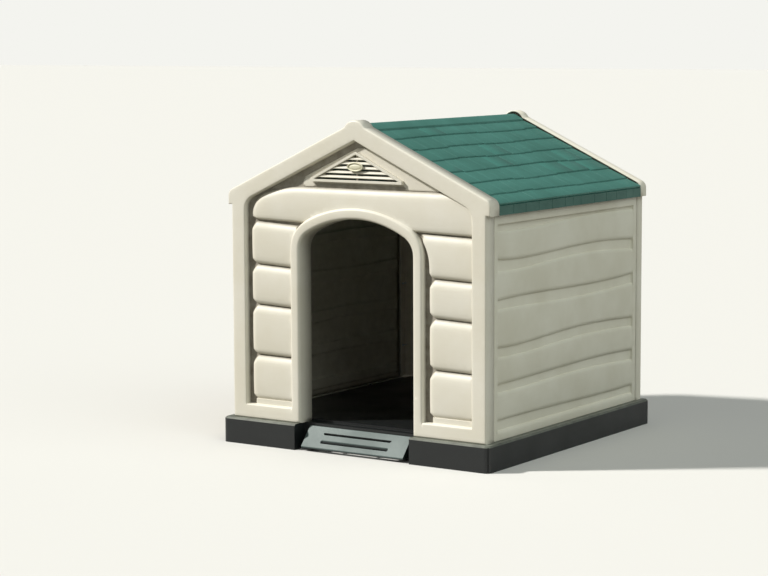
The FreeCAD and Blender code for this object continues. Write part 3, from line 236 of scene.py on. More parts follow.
def resin(name, colour, shade, grime_and_shade, roughness, grain, bump, streak=(1, 1, 1), dust_and_sheen=None, sunk=None):
    """Moulded resin: a mottled body, a fine grain, grime and painted shade where the mould is deep, dust and a
    painted highlight on top out of doors.
    sunk: (direction, level), a slope in metres behind which painted shade darkens the surface."""
    material, tree, shader, place = new_material(name)
    calc = partial(maths, tree)
    mottle = noise(tree, place, MOTTLE, 4.0)
    patches = noise(tree, place, PATCHES, 5.0)
    body = mix(tree, ramp(tree, mottle, 0.35, 0.65), colour, shade)
    streaks = noise(tree, place, STREAKS, 3.0, streak)
    body = mix(tree, ramp(tree, streaks, 0.5, 0.75, 0.0, 0.22), body, shade)
    recess = add(tree, "ShaderNodeAttribute", {"attribute_name": "recess"}).outputs["Fac"]
    # Deep places darken towards the grime colour: grime and painted shade together.
    dirt_and_shade = calc("MULTIPLY", ramp(tree, recess, 0.5, 0.92, 0.0, 0.8), ramp(tree, patches, 0.25, 0.7, 0.65, 1.0))
    body = mix(tree, dirt_and_shade, body, grime_and_shade)
    # Behind the sunk slope the surface is darkened with painted shade, so the step's slots read dark.
    if sunk:
        way, level = sunk
        behind = add(tree, "ShaderNodeVectorMath", {"operation": "DOT_PRODUCT", 1: way}, i0=place)
        sunk_shade = ramp(tree, behind.outputs["Value"], level + 0.001, level + 0.0025, 0.0, 0.9)
        body = mix(tree, sunk_shade, body, grime_and_shade)
    # Upward faces out of doors are lightened: dust and a painted highlight together.
    if dust_and_sheen:
        facing = add(tree, "ShaderNodeNewGeometry").outputs["Normal"]
        upward = add(tree, "ShaderNodeSeparateXYZ", None, Vector=facing).outputs["Z"]
        thick = ramp(tree, patches, 0.3, 0.6, 0.55, 1.0)
        top_dust_and_sheen = calc("MULTIPLY", ramp(tree, upward, 0.25, 0.8, 0.0, 0.6), thick)
        spot = add(tree, "ShaderNodeSeparateXYZ", None, Vector=place).outputs
        outdoors = calc("MAXIMUM", calc("GREATER_THAN", calc("ABSOLUTE", spot["X"]), (WALL_HALF - 3) / 1000),
                        calc("MAXIMUM", calc("LESS_THAN", spot["Y"], (FRONT_FACE + 3) / 1000),
                             calc("GREATER_THAN", spot["Y"], (REAR_FACE - 3) / 1000)))
        body = mix(tree, calc("MULTIPLY", top_dust_and_sheen, outdoors), body, dust_and_sheen)
    tree.links.new(body, shader.inputs["Base Color"])
    wear = ramp(tree, mottle, 0.3, 0.7, roughness - 0.05, roughness + 0.07)
    tree.links.new(wear, shader.inputs["Roughness"])
    shader.inputs["IOR"].default_value = 1.49
    height = calc("ADD", noise(tree, place, grain, 2.0), noise(tree, place, FINE_STREAKS, 2.0, streak))
    normal = add(tree, "ShaderNodeBump", {"Strength": bump, "Distance": 0.0004}, Height=height).outputs[0]
    tree.links.new(normal, shader.inputs["Normal"])
    return material


def steel(name):
    """Zinc-plated steel: bright and slightly blue, with a soft spangle in its gloss."""
    material, tree, shader, place = new_material(name)
    spangle = noise(tree, place, 3, 3.0)
    tree.links.new(mix(tree, spangle, "#B9BDC0", "#9EA4A8"), shader.inputs["Base Color"])
    tree.links.new(ramp(tree, spangle, 0.3, 0.7, 0.28, 0.45), shader.inputs["Roughness"])
    shader.inputs["Metallic"].default_value = 1.0
    return material


# Which way the flow streaks run: along the logs, along the boards, down the shingles, down the fascia.
ALONG_LOGS, ALONG_BOARDS, DOWN_SHINGLES, DOWN_FASCIA = (0.12, 1, 1), (1, 0.12, 1), (0.15, 1, 0.15), (1, 1, 0.2)
# The step's sloping face: the direction into its plate, and the face's level along it.
STEP_PLANE = ((0, 0.7534, -0.6575), -0.3813)

# Polypropylene, injection moulded: a satin ivory skin with a fine grain; grime and painted shade darken the
# gutters.
IVORY = resin("ivory_polypropylene", "#E3DFD3", "#DDD8C9", "#574C3C", 0.46, 1.6, 0.35, ALONG_LOGS)
SIDE_IVORY = resin("ivory_polypropylene_side", "#E0DDCF", "#D8D4C4", "#574C3C", 0.46, 1.6, 0.35, ALONG_BOARDS)
# The same resin in green, matt from the sun, with a wood-like grain down each shingle.
GREEN = resin("green_polypropylene", "#447F75", "#3B7268", "#1D4A3F", 0.5, 1.8, 0.6, DOWN_SHINGLES)
# The fascia's darker copy of the green is painted shade on the eave's upright face.
SHADED_GREEN = resin("green_polypropylene_shaded_fascia", "#2C6056", "#24534A", "#143A31", 0.5, 1.8, 0.5, DOWN_FASCIA)
# Plinth: recycled polypropylene, moulded nearly black, so dust shows on its lip, together with a painted
# highlight on its upward faces.
PLINTH = resin("charcoal_polypropylene", "#1A1D1E", "#131617", "#101213", 0.38, 1.8, 0.5, dust_and_sheen="#8C9084")
# Step: moulded slate-grey polypropylene, scuffed matt, with painted shade in its slots.
STEP = resin("slate_polypropylene", "#5A6967", "#4E5D5B", "#15181A", 0.46, 1.8, 0.5, sunk=STEP_PLANE)
# Badge: cream moulding compound with a faint gold tint.
BADGE = resin("cream_moulding", "#E2DFC8", "#DAD6BA", "#6E6644", 0.4, 1.2, 0.2)
STEEL = steel("zinc_plated_steel")

# ---- meshes


def make_piece(name, points, faces, material, sharp=38, attribute=None):
    """A mesh piece from millimetre points, smooth except at edges sharper than an angle."""
    mesh = bpy.data.meshes.new(name)
    mesh.from_pydata([[c / 1000 for c in p] for p in points], [], [list(f) for f in faces])
    mesh.update()
    mesh.materials.append(material)
    if attribute is not None:
        mesh.attributes.new("recess", "FLOAT", "POINT").data.foreach_set("value", [float(v) for v in attribute])
    mesh.polygons.foreach_set("use_smooth", [True] * len(mesh.polygons))
    mesh.set_sharp_from_angle(angle=math.radians(sharp))
    piece = bpy.data.objects.new(name, mesh)
    scene.collection.objects.link(piece)
    return piece


def keep_result(piece):
    """Keeps what a piece's modifier makes and removes the modifier."""
    bpy.context.view_layer.update()
    mesh = bpy.data.meshes.new_from_object(piece.evaluated_get(bpy.context.evaluated_depsgraph_get()))
    piece.modifiers.clear()
    piece.data = mesh
    return piece


def finish_with(piece, kind, **settings):
    """Applies one modifier to a piece for good."""
    modifier = piece.modifiers.new(kind.lower(), kind)
    for name, setting in settings.items():
        setattr(modifier, name, setting)
    return keep_result(piece)


def hold(piece, slot, *nodes):
    """Puts a finished piece on the house and hides the CAD nodes it stands for."""
    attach(piece, "root")
    if nodes:
        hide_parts(*nodes)
    return piece


def line(start, end, step):
    """Points from start up to, but not including, end."""
    count = max(1, math.ceil(math.dist(start, end) / step))
    return [(start[0] + (end[0] - start[0]) * i / count, start[1] + (end[1] - start[1]) * i / count)
            for i in range(count)]


def arc(centre, radii, start, end, count):
    """Points along an upright oval arc, both ends included; angles in degrees."""
    return [(centre[0] + radii[0] * math.cos(math.radians(start + (end - start) * i / count)),
             centre[1] + radii[1] * math.sin(math.radians(start + (end - start) * i / count)))
            for i in range(count + 1)]


def notch(centre, radii, start, count=6):
    """A quarter turn of a log's corner, from an angle of start degrees on, cut back almost straight."""
    points = []
    for i in range(count + 1):
        turn = math.radians(start + 90 * i / count)
        cos, sin = math.cos(turn), math.sin(turn)
        power = 2 / CORNER_POWER
        points.append((centre[0] + math.copysign(abs(cos) ** power, cos) * radii[0],
                       centre[1] + math.copysign(abs(sin) ** power, sin) * radii[1]))
    return points


def dense(points, step, closed=False):
    """A polyline with no stretch longer than a step."""
    result = []
    for a, b in zip(points, points[1:] + points[:1] if closed else points[1:]):
        result += line(a, b, step)
    return result if closed else result + [points[-1]]


def crossings(points, loop):
    """Which points lie inside a closed loop."""
    x, y = np.asarray(points, float).T
    inside = np.zeros(len(x), bool)
    loop = np.asarray(loop, float)
    for (ax, ay), (bx, by) in zip(loop, np.roll(loop, -1, axis=0)):
        if ay == by:
            continue
        inside ^= ((ay > y) != (by > y)) & (x < (bx - ax) * (y - ay) / (by - ay) + ax)
    return inside


def runs(points, keep, closed=False):
    """The stretches of a polyline whose points pass a test."""
    points = points + points[:1] if closed else points
    result, current = [], []
    for point in points:
        if keep(*point):
            current.append(point)
        else:
            if len(current) > 1:
                result.append(current)
            current = []
    if len(current) > 1:
        result.append(current)
    return result


def moulded_panel(name, outline, rows, depth, place, flip, material, holes=(), spacing=13.0, fine=(),
                  free_of_grime_and_shade=None):
    """A thin moulded wall. outline: (across, up, edge rounding, return) anticlockwise; rows: lines that the
    relief follows; depth(across, up): how far the face lies behind its plane; place: where a point goes;
    the last test, of (across, up), tells whether the face stays free of grime and painted shade there."""
    edge = np.array([p[:2] for p in outline], float)
    rounding = np.array([p[2] for p in outline], float)
    returns = np.array([p[3] for p in outline], float)
    before, after = edge - np.roll(edge, 1, axis=0), np.roll(edge, -1, axis=0) - edge
    sides = []
    for way in (before, after):
        way = way / np.linalg.norm(way, axis=1)[:, None]
        sides.append(np.stack([-way[:, 1], way[:, 0]], axis=1))
    inward = (sides[0] + sides[1]) / (1 + (sides[0] * sides[1]).sum(axis=1))[:, None]
    inset = edge + inward * rounding[:, None]

    count = len(inset)
    points = [tuple(p) for p in inset]
    links = [(i, (i + 1) % count) for i in range(count)]
    for hole in holes:
        first = len(points)
        points += hole
        links += [(first + i, first + (i + 1) % len(hole)) for i in range(len(hole))]
    for row in rows:
        first = len(points)
        points += row
        links += [(first + i, first + i + 1) for i in range(len(row) - 1)]
    tree = kdtree.KDTree(len(points))
    for i, (u, v) in enumerate(points):
        tree.insert((u, v, 0), i)
    tree.balance()
    low, high = edge.min(axis=0), edge.max(axis=0)
    grid = []
    for j, v in enumerate(np.arange(low[1], high[1], spacing * 0.87)):
        for u in np.arange(low[0] + spacing / 2 * (j % 2), high[0], spacing):
            grid.append((float(u), float(v)))
    grid += fine
    keep = crossings(grid, inset)
    points += [g for g, k in zip(grid, keep) if k and tree.find((*g, 0))[2] > spacing * 0.42]

    flat, _, triangles, origins, _, _ = delaunay_2d_cdt([Vector(p) for p in points], links, [], 0, 1e-4)
    flat = np.array([tuple(p) for p in flat])
    corners = np.array(triangles)
    centres = flat[corners].mean(axis=1)
    keep = crossings(centres, inset)
    for hole in holes:
        keep &= ~crossings(centres, hole)
    corners = corners[keep]
    a, b, c = (flat[corners[:, i]] for i in range(3))
    area = (b[:, 0] - a[:, 0]) * (c[:, 1] - a[:, 1]) - (c[:, 0] - a[:, 0]) * (b[:, 1] - a[:, 1])
    corners = corners[np.abs(area) > 1e-6]
    area = area[np.abs(area) > 1e-6]
    corners[area < 0] = corners[area < 0][:, ::-1]

    ring = [0] * count
    for new, old in enumerate(origins):
        for index in old:
            if index < count:
                ring[index] = new
    depths = [depth(u, v) for u, v in flat]
    for index in ring:
        depths[index] = 0.0
    solid = [place(u, v, d) for (u, v), d in zip(flat, depths)]
    # The deeper a point, the more grime and painted shade, save where the wall stays free of both.
    recess = [0.0 if free_of_grime_and_shade and free_of_grime_and_shade(u, v) else d / RECESS_DEPTH for (u, v), d in zip(flat, depths)]
    faces = [tuple(int(i) for i in t) for t in corners]
    for turn in (22.5, 45, 67.5, 90, None):
        first = len(solid)
        for i in range(count):
            if turn is None:
                u, v, d = *edge[i], returns[i]
            else:
                share = math.radians(turn)
                u, v = edge[i] + inward[i] * rounding[i] * (1 - math.sin(share))
                d = rounding[i] * (1 - math.cos(share))
            solid.append(place(u, v, d))
            recess.append(0.0)
        outer = list(range(first, first + count))
        faces += [(outer[i], outer[(i + 1) % count], ring[(i + 1) % count], ring[i]) for i in range(count)]
        ring = outer
    if flip:
        faces = [f[::-1] for f in faces]
    used = sorted({i for f in faces for i in f})
    renumber = {old: new for new, old in enumerate(used)}
    piece = make_piece(name, [solid[i] for i in used], [[renumber[i] for i in f] for f in faces], material, 42,
                       [recess[i] for i in used])
    outer_points = len(piece.data.vertices)
    finish_with(piece, "SOLIDIFY", thickness=PANEL_SKIN / 1000, offset=-1.0)
    # The inner side is darkened with painted shade, as if deep in a gutter.
    grime_and_shade_mask = piece.data.attributes["recess"].data
    for i in range(outer_points, len(grime_and_shade_mask)):
        grime_and_shade_mask[i].value = INSIDE_SHADE
    return piece


# ---- front and rear walls


def door_distance(x, z):
    """How far a point lies outside the doorway's three-centred arch."""
    x = abs(x)
    if z <= DOOR_SPRING:
        return x - DOOR_HALF
    if x * (DOOR_SPRING - DOOR_CENTRE) < DOOR_REACH * (z - DOOR_CENTRE):
        return math.hypot(x, z - DOOR_CENTRE) - DOOR_CROWN
    return math.hypot(x - DOOR_REACH, z - DOOR_SPRING) - DOOR_CORNER


def recess_distance(x, z):
    """How far a point lies inside the border's inner edge."""
    x = abs(x)
    dx, dz = x - (RECESS_HALF - RECESS_CORNER), z - RECESS_SHOULDER
    if dx > 0 and 0 < dz < dx * math.tan(math.radians(TURN)):
        return RECESS_CORNER - math.hypot(dx, dz)
    return min(RECESS_HALF - x, z - RECESS_FOOT, (RECESS_APEX - SLOPE * x - z) * SLOPE_COS)


def step_down(inside, radius):
    """A rounded edge and the steep wall below it, for a distance inside the edge."""
    if inside <= -radius:
        return 0.0
    if inside < 0:
        return radius - math.sqrt(radius ** 2 - (inside + radius) ** 2)
    return radius + inside * WALL_FALL


def door_loop(grow, foot):
    """The arch from its left foot over to its right foot, grown by a margin."""
    lean = math.degrees(math.atan2(DOOR_SPRING - DOOR_CENTRE, DOOR_REACH))
    small, large = DOOR_CORNER + grow, DOOR_CROWN + grow
    left = line((-DOOR_HALF - grow, foot), (-DOOR_HALF - grow, DOOR_SPRING), 12)
    return (left + arc((-DOOR_REACH, DOOR_SPRING), (small, small), 180, 180 - lean, 12)[:-1]
            + arc((0, DOOR_CENTRE), (large, large), 180 - lean, lean, 44)
            + arc((DOOR_REACH, DOOR_SPRING), (small, small), lean, 0, 12)[1:]
            + line((DOOR_HALF + grow, DOOR_SPRING), (DOOR_HALF + grow, foot), 12)[1:]
            + [(DOOR_HALF + grow, foot)])


def recess_loop(inset):
    """The border's inner edge, moved inwards by a margin."""
    half, foot = RECESS_HALF - inset, RECESS_FOOT + inset
    apex = RECESS_APEX - inset / SLOPE_COS
    radius = RECESS_CORNER - inset
    middle = RECESS_HALF - RECESS_CORNER
    right = [(half, foot)] + arc((middle, RECESS_SHOULDER), (radius, radius), 0, TURN, 7)
    left = arc((-middle, RECESS_SHOULDER), (radius, radius), 180 - TURN, 180, 7) + [(-half, foot)]
    return right + [(0, apex)] + left


def tilted(z_left, z_right, x_left, x_right):
    """A log line that rises or falls evenly across its column."""
    return lambda x: z_left + (z_right - z_left) * (x - x_left) / (x_right - x_left)


def follow(edge, shift, start, end, count=18):
    """Points along a log's edge line, moved up by a shift."""
    return [(x, edge(x) + shift) for x in np.linspace(start, end, count)]


def cushion(face, shares):
    """The depth where a face falls away to the recess, for how far along each of its roundings a point is."""
    fall = sum(share ** CORNER_POWER for share in shares) ** (2 / CORNER_POWER)
    return RECESS_DEPTH if fall >= 1 else face + (RECESS_DEPTH - face) * (1 - math.sqrt(1 - fall))


class Log:
    """A cushion-like relief log: a flat face that falls away softly above and tightly below."""

    end = LOG_END_ROUND

    def __init__(self, left, right, low, high):
        self.left, self.right, self.low, self.high = left, right, low, high

    def depth(self, x, z):
        """How far the face lies behind the wall's, from the distances inside the end, the top and the foot."""
        a, b, c = self.inside(x, z), self.high(x) - z, z - self.low(x)
        if min(a, b, c) <= 0 or x > self.right:
            return RECESS_DEPTH
        u, v = max(0, 1 - a / self.end), max(0, 1 - b / LOG_TOP_ROUND, 1 - c / LOG_FOOT_ROUND)
        crown = LOG_CROWN * (b / (b + c) * 2 - 1) ** 2
        return cushion(LOG_FACE + crown, (u, v))

    def inside(self, x, z):
        """Distance from the free end."""
        return x - self.left

    def row(self, share):
        """The line where the rounding has reached a share of its width."""
        x, low, high = self.left + self.end, self.low, self.high
        top = follow(high, -LOG_TOP_ROUND * (1 - share), self.right, x)
        upper = notch((x, high(x) - LOG_TOP_ROUND), (self.end * share, LOG_TOP_ROUND * share), 90)[1:]
        lower = notch((x, low(x) + LOG_FOOT_ROUND), (self.end * share, LOG_FOOT_ROUND * share), 180)
        foot = follow(low, LOG_FOOT_ROUND * (1 - share), x, self.right)[1:]
        return dense(top + upper + lower + foot, 15)


class BrowLog(Log):
    """The log over the doorway; its free shoulder sweeps up along the border."""

    FREE, TOP = -198, 788.5
    SHORT, SPRING = 75, 695
    END, FOOT_ROUND = 24, 10
    CROWN_FOOT, CROWN_TOP = 60, 75

    def __init__(self, low):
        super().__init__(LOG_LEFT, LOG_RIGHT, low, lambda x: self.TOP)
        reach = self.left + self.SHORT - self.FREE
        fall = self.TOP - self.SPRING
        self.sweep = (reach ** 2 + fall ** 2 - self.SHORT ** 2) / 2 / (fall - self.SHORT)
        self.centre = (self.FREE, self.TOP - self.sweep)
        self.short = (self.left + self.SHORT, self.SPRING)

    def edge(self, x, z):
        """Distance inside the top edge and the free end."""
        if x >= self.FREE:
            return self.TOP - z
        if x < self.short[0] and z <= self.short[1]:
            return x - self.left
        dx, dz = x - self.short[0], z - self.short[1]
        way = (self.short[0] - self.centre[0], self.short[1] - self.centre[1])
        if dx * way[1] - dz * way[0] < 0 and dz > 0 and dx < 0:
            return self.SHORT - math.hypot(dx, dz)
        return self.sweep - math.hypot(x - self.centre[0], z - self.centre[1])

    def depth(self, x, z):
        b, c = self.edge(x, z), z - self.low(x)
        if min(b, c) <= 0:
            return RECESS_DEPTH
        crown = LOG_CROWN * (max(0, 1 - c / self.CROWN_FOOT) ** 2 + max(0, 1 - b / self.CROWN_TOP) ** 2)
        return cushion(LOG_FACE + crown, (max(0, 1 - b / self.END), max(0, 1 - c / self.FOOT_ROUND)))

    def row(self, share):
        inset = self.END * (1 - share)
        lean = math.degrees(math.atan2(self.short[1] - self.centre[1], self.short[0] - self.centre[0]))
        big, small = self.sweep - inset, self.SHORT - inset
        x = self.left + self.END
        foot = self.low(x)
        points = [(self.right, self.TOP - inset)] + arc(self.centre, (big, big), 90, lean, 16)
        points += arc(self.short, (small, small), lean, 180, 8)[1:]
        points += notch((x, foot + self.FOOT_ROUND), (self.END * share, self.FOOT_ROUND * share), 180)
        points += follow(self.low, self.FOOT_ROUND * (1 - share), x, self.right, 60)[1:]
        return dense(points, 14)


class ShoulderLog(Log):
    """The log beside the arch: its free end follows the surround, with a gutter that closes upwards."""

    end = 12
    WIDE, NARROW, START, CLOSING = 16, 3, 575, 85

    def gutter(self, z):
        """Width of the gutter at a height."""
        share = min(1.0, max(0.0, (z - self.START) / self.CLOSING))
        return self.WIDE - (self.WIDE - self.NARROW) * share * share * (3 - 2 * share)

    def inside(self, x, z):
        return door_distance(x, z) - SURROUND - self.gutter(z) if x > 0 else -1.0

    def row(self, share):
        low, high, end = self.low, self.high, []
        top = high(self.left) - LOG_TOP_ROUND * (1 - share)
        foot = low(self.left) + LOG_FOOT_ROUND
        for z in np.linspace(top, foot, 16):
            grow = SURROUND + self.gutter(z) + self.end * (1 - share)
            reach = DOOR_CORNER + grow
            x = DOOR_HALF + grow if z < DOOR_SPRING else DOOR_REACH + math.sqrt(
                max(0.0, reach ** 2 - (z - DOOR_SPRING) ** 2))
            end.append((x, float(z)))
        x = end[-1][0] + self.end * share
        upper = follow(high, -LOG_TOP_ROUND * (1 - share), self.right, end[0][0])[:-1]
        lower = notch((x, foot), (self.end * share, LOG_FOOT_ROUND * share), 180)[1:]
        under = follow(low, LOG_FOOT_ROUND * (1 - share), x, self.right)[1:]
        return dense(upper + end + lower + under, 15)


class GableLog(Log):
    """The log behind the vent, cut to the slope of the roof."""

    LEFT, FOOT, TOP, FACE = -198, 790, 910, 20
    SLOPE_ROUND, FOOT_ROUND, END_ROUND = 12, 7, 14

    def __init__(self):
        super().__init__(self.LEFT, LOG_RIGHT, lambda x: self.FOOT, lambda x: self.TOP)

    def depth(self, x, z):
        a, c = x - self.LEFT, z - self.FOOT
        b = (self.TOP - z) if x > 0 else (self.TOP + SLOPE * x - z) * SLOPE_COS
        if min(a, b, c) <= 0:
            return RECESS_DEPTH
        shares = ((a, self.END_ROUND), (b, self.SLOPE_ROUND), (c, self.FOOT_ROUND))
        return cushion(self.FACE, [max(0, 1 - distance / reach) for distance, reach in shares])

    def row(self, share):
        drop = self.SLOPE_ROUND * (1 - share) / SLOPE_COS
        foot = self.FOOT + self.FOOT_ROUND * (1 - share)
        left = self.LEFT + self.END_ROUND * (1 - share)
        points = [(60, self.TOP - drop * SLOPE_COS), (0, self.TOP - drop),
                  (left, self.TOP - drop + SLOPE * left), (left, foot), (self.right, foot)]
        return dense(points, 12)


class Sill:
    """The shallow strip under the lowest log, which stops short of the gutter."""

    INSET, END = 13, 5

    def __init__(self, left, right):
        self.left, self.right = left + self.INSET, right

    def depth(self, x, z):
        if z > LOWEST_LOG + 2 or not self.left < x < self.right:
            return RECESS_DEPTH
        return cushion(SILL_DEPTH, [max(0, 1 - (x - self.left) / self.END)])

    def row(self, share):
        x = self.left + self.END * (1 - share)
        return dense([(x, RECESS_FOOT - 4), (x, LOWEST_LOG + 2)], 5)


def end_logs(columns, brow_low):
    """All the logs of an end wall; the lowest one has no gap below it."""
    logs = [GableLog(), BrowLog(brow_low)]
    for column in columns:
        left, right, levels = COLUMNS[column]
        logs.append(Sill(left, right))
        lines = [tilted(a, b, left, right) for a, b in levels]
        for i, (low, high) in enumerate(zip(lines, lines[1:])):
            gap = 0 if i == 0 else LOG_GAP
            kind = ShoulderLog if (column, i) == ("right", 3) else Log
            logs.append(kind(left, right, lambda x, f=low, g=gap: f(x) + g, lambda x, f=high: f(x) - LOG_GAP))
    return logs


def rim_outline(returns, with_door):
    """The wall seen from outside, anticlockwise, with the rounding and the return of each edge."""
    seam, rim = returns
    corner = RIM_APEX - RIM_HALF * SLOPE - RIM_CORNER * HALF_TURN
    rise = CROWN_HALF * SLOPE + CROWN_RISE
    crown = (CROWN_HALF ** 2 + rise ** 2) / 2 / rise
    spread = math.degrees(math.asin(CROWN_HALF / crown))
    right = [(u, v, RIM_EDGE, seam) for u, v in line((WALL_HALF, WALL_FOOT), (WALL_HALF, EAVE - 2), 12)]
    right += [(WALL_HALF, EAVE - 2, RIM_EDGE, seam), (WALL_HALF, EAVE, RIM_EDGE, rim)]
    over = [(RIM_HALF, EAVE)] + arc((RIM_HALF - RIM_CORNER, corner), (RIM_CORNER, RIM_CORNER), 0, TURN, 8)
    over += line(over[-1], (CROWN_HALF, RIM_APEX - CROWN_HALF * SLOPE), 12)[1:]
    over += arc((0, RIM_APEX + CROWN_RISE - crown), (crown, crown), 90 - spread, 90, 6)
    right += [(u, v, RIM_EDGE, rim) for u, v in over]
    loop = right + mirrored(right[:-1])
    start = DOOR_HALF if with_door else -WALL_HALF
    ledge = [(u, v, RIM_EDGE, seam) for u, v in line((start, WALL_FOOT), (WALL_HALF, WALL_FOOT), 14)[1:]]
    if with_door:
        loop += mirrored(ledge) + [(u, v, DOOR_EDGE, REVEAL) for u, v in door_loop(0, WALL_FOOT)]
    return loop + ledge


def mirrored(points):
    """An outline's points on the other side of the middle, in reverse order."""
    return [(-u, *rest) for u, *rest in reversed(points)]


def end_wall(name, face, sign, returns, with_door):
    """A gable wall with its border, recessed logs, rim and, at the front, the arched surround."""
    brow_low = tilted(*(FRONT_BROW if with_door else REAR_BROW))
    logs = end_logs(("left", "right") if with_door else ("full",), lambda x: brow_low(x) + LOG_GAP)

    def outside_door(x, z):
        return door_distance(x, z) - SURROUND if with_door else 1e6

    def depth(x, z):
        border = step_down(recess_distance(x, z), BORDER_ROUND)
        if with_door:
            border = min(border, step_down(outside_door(x, z), SURROUND_ROUND))
        if border <= 0:
            return 0.0
        return min(border, min(log.depth(x, z) for log in logs))

    def free_of_grime_and_shade(x, z):
        """The gable log's face stays free of grime and painted shade, except under the vent, where the vent's
        shadow is painted.
        """
        in_vent_shadow = z <= VENT_FOOT - 3 and -VENT_HALF < x < VENT_HALF + 10
        return logs[0].depth(x, z) <= GableLog.FACE + 1 and not in_vent_shadow

    rows = []
    for inset in BORDER_ROWS:
        rows += runs(dense(recess_loop(inset), 13, True), lambda x, z: outside_door(x, z) > -5, True)
    if with_door:
        rows += [door_loop(SURROUND + margin, RECESS_FOOT - 6) for margin in SURROUND_ROWS]
    for log in logs:
        for share in ROUND_ROWS:
            rows += runs(log.row(share), lambda x, z: recess_distance(x, z) > -3 and outside_door(x, z) > -7)
    across, up = SHARP_END
    fine = [(float(x), float(z)) for x in np.arange(*across, 4) for z in np.arange(*up, 4)]
    return moulded_panel(name, rim_outline(returns, with_door), rows, depth,
                         lambda u, v, d: (u, face + sign * d, v), sign < 0, IVORY, [VENT_HOLE],
                         fine=fine, free_of_grime_and_shade=free_of_grime_and_shade)


hold(end_wall("front_wall_moulding", FRONT_FACE, 1, FRONT_RETURNS, True), "wall_plastic", "front_wall")
hold(end_wall("rear_wall_moulding", REAR_FACE, -1, REAR_RETURNS, False), "wall_plastic", "rear_wall")

# ---- side walls


def flowing(*points):
    """A gentle curve through places given as (distance behind the front face, height)."""
    along, up = np.array(points, float).T
    curve = np.polynomial.Polynomial.fit(along + FRONT_FACE, up, min(4, len(points) - 1))
    return lambda y: float(curve(y))


# Lower and upper edge of each groove, from the foot up.
GROOVES = [
    (flowing((64, 107), (300, 107), (880, 106)),
     flowing((64, 134), (300, 134), (500, 131), (700, 128), (880, 129))),
    (flowing((64, 218), (150, 216), (300, 218), (500, 222), (600, 222), (750, 218), (880, 213)),
     flowing((64, 238), (200, 240), (400, 243), (600, 247), (700, 246), (880, 242))),
    (flowing((64, 321), (150, 317), (300, 318), (450, 325), (600, 328), (750, 325), (880, 320)),
     flowing((64, 346), (150, 343), (300, 345), (450, 353), (600, 355), (750, 352), (880, 346))),
    (flowing((64, 456), (200, 455), (400, 451), (550, 449), (700, 451), (880, 456)),
     flowing((64, 481), (200, 484), (350, 483), (550, 479), (700, 479), (880, 484))),
    (flowing((64, 568), (200, 565), (300, 568), (500, 577), (600, 578), (750, 573), (880, 565)),
     flowing((64, 600), (200, 593), (350, 595), (550, 603), (700, 603), (880, 595))),
    (flowing((64, 682), (200, 680), (300, 681), (400, 686), (600, 692), (880, 690)),
     flowing((64, 700), (300, 700), (880, 700))),
]


def round_above(number):
    """The rounding above a groove: a board's foot, or the field's own top edge."""
    return FIELD_TOP_ROUND if number == len(GROOVES) - 1 else BOARD_FOOT_ROUND


def side_depth(y, z):
    """Depth of the boards' grooves behind the side wall's frame."""
    ends = min(y - FIELD[0], FIELD[1] - y)
    if ends <= 0:
        return 0.0
    fade = math.sqrt(1 - (1 - min(1.0, ends / FIELD_ROUND)) ** 2)
    fall, foot, head = 0.0, None, None
    for number, (low, high) in enumerate(GROOVES):
        above, below = z - high(y), low(y) - z
        if above <= 0 and below <= 0:
            return BOARD_DEPTH * fade
        if above > 0:
            foot = above
        elif head is None:
            head = below
        for share in (above / round_above(number), below / BOARD_HEAD_ROUND):
            if 0 < share < 1:
                fall = max(fall, 1 - math.sqrt(1 - (1 - share) ** 2))
    belly = BOARD_CROWN * ((foot - head) / (foot + head)) ** 2 if foot and head else 0.0
    return (belly + (BOARD_DEPTH - belly) * fall) * fade


def side_wall(name, sign):
    """A side wall: a framed field of five broad boards between wavy grooves."""
    rows = []
    ends = (0, 0.4, 1.4, 3.2, 5, FIELD_ROUND)
    columns = [FIELD[0] + f for f in ends] + list(np.arange(FIELD[0] + 20, FIELD[1] - 12, 16.0))
    columns += [FIELD[1] - f for f in ends[::-1]]
    for number, (low, high) in enumerate(GROOVES):
        for share in (0, 0.04, 0.15, 0.35, 0.6, 0.85, 1.0):
            rows.append([(float(y), high(y) + round_above(number) * share) for y in columns])
            rows.append([(float(y), low(y) - BOARD_HEAD_ROUND * share) for y in columns])
    for offset in ends:
        for y in (FIELD[0] + offset, FIELD[1] - offset):
            rows.append(dense([(y, GROOVES[0][0](y) - BOARD_HEAD_ROUND), (y, GROOVES[-1][1](y) + 2)], 12))
    front, rear = FRONT_SEAM + SEAM_GAP, REAR_SEAM - SEAM_GAP
    corners = [(front, WALL_FOOT), (rear, WALL_FOOT), (rear, UNDER_ROOF), (front, UNDER_ROOF)]
    outline = [(u, v, SIDE_EDGE, SIDE_RETURN) for u, v in dense(corners, 14, True)]
    return moulded_panel(name, outline, rows, side_depth, lambda u, v, d: (sign * (WALL_HALF - d), u, v),
                         sign < 0, SIDE_IVORY, spacing=22.0)


hold(side_wall("right_wall_moulding", 1), "wall_plastic", "right_wall")
hold(side_wall("left_wall_moulding", -1), "wall_plastic", "left_wall")

# ---- repeated pieces


def new_group(name, inputs):
    """An empty Geometry Nodes tree with named inputs: (name, kind, value)."""
    tree = bpy.data.node_groups.new(name, "GeometryNodeTree")
    tree.interface.new_socket("Geometry", in_out="OUTPUT", socket_type="NodeSocketGeometry")
    for label, kind, value in inputs:
        socket = tree.interface.new_socket(label, in_out="INPUT", socket_type=f"NodeSocket{kind}")
        if kind not in ("Object", "Material"):
            socket.default_value = value
    return tree, add(tree, "NodeGroupInput"), add(tree, "NodeGroupOutput")


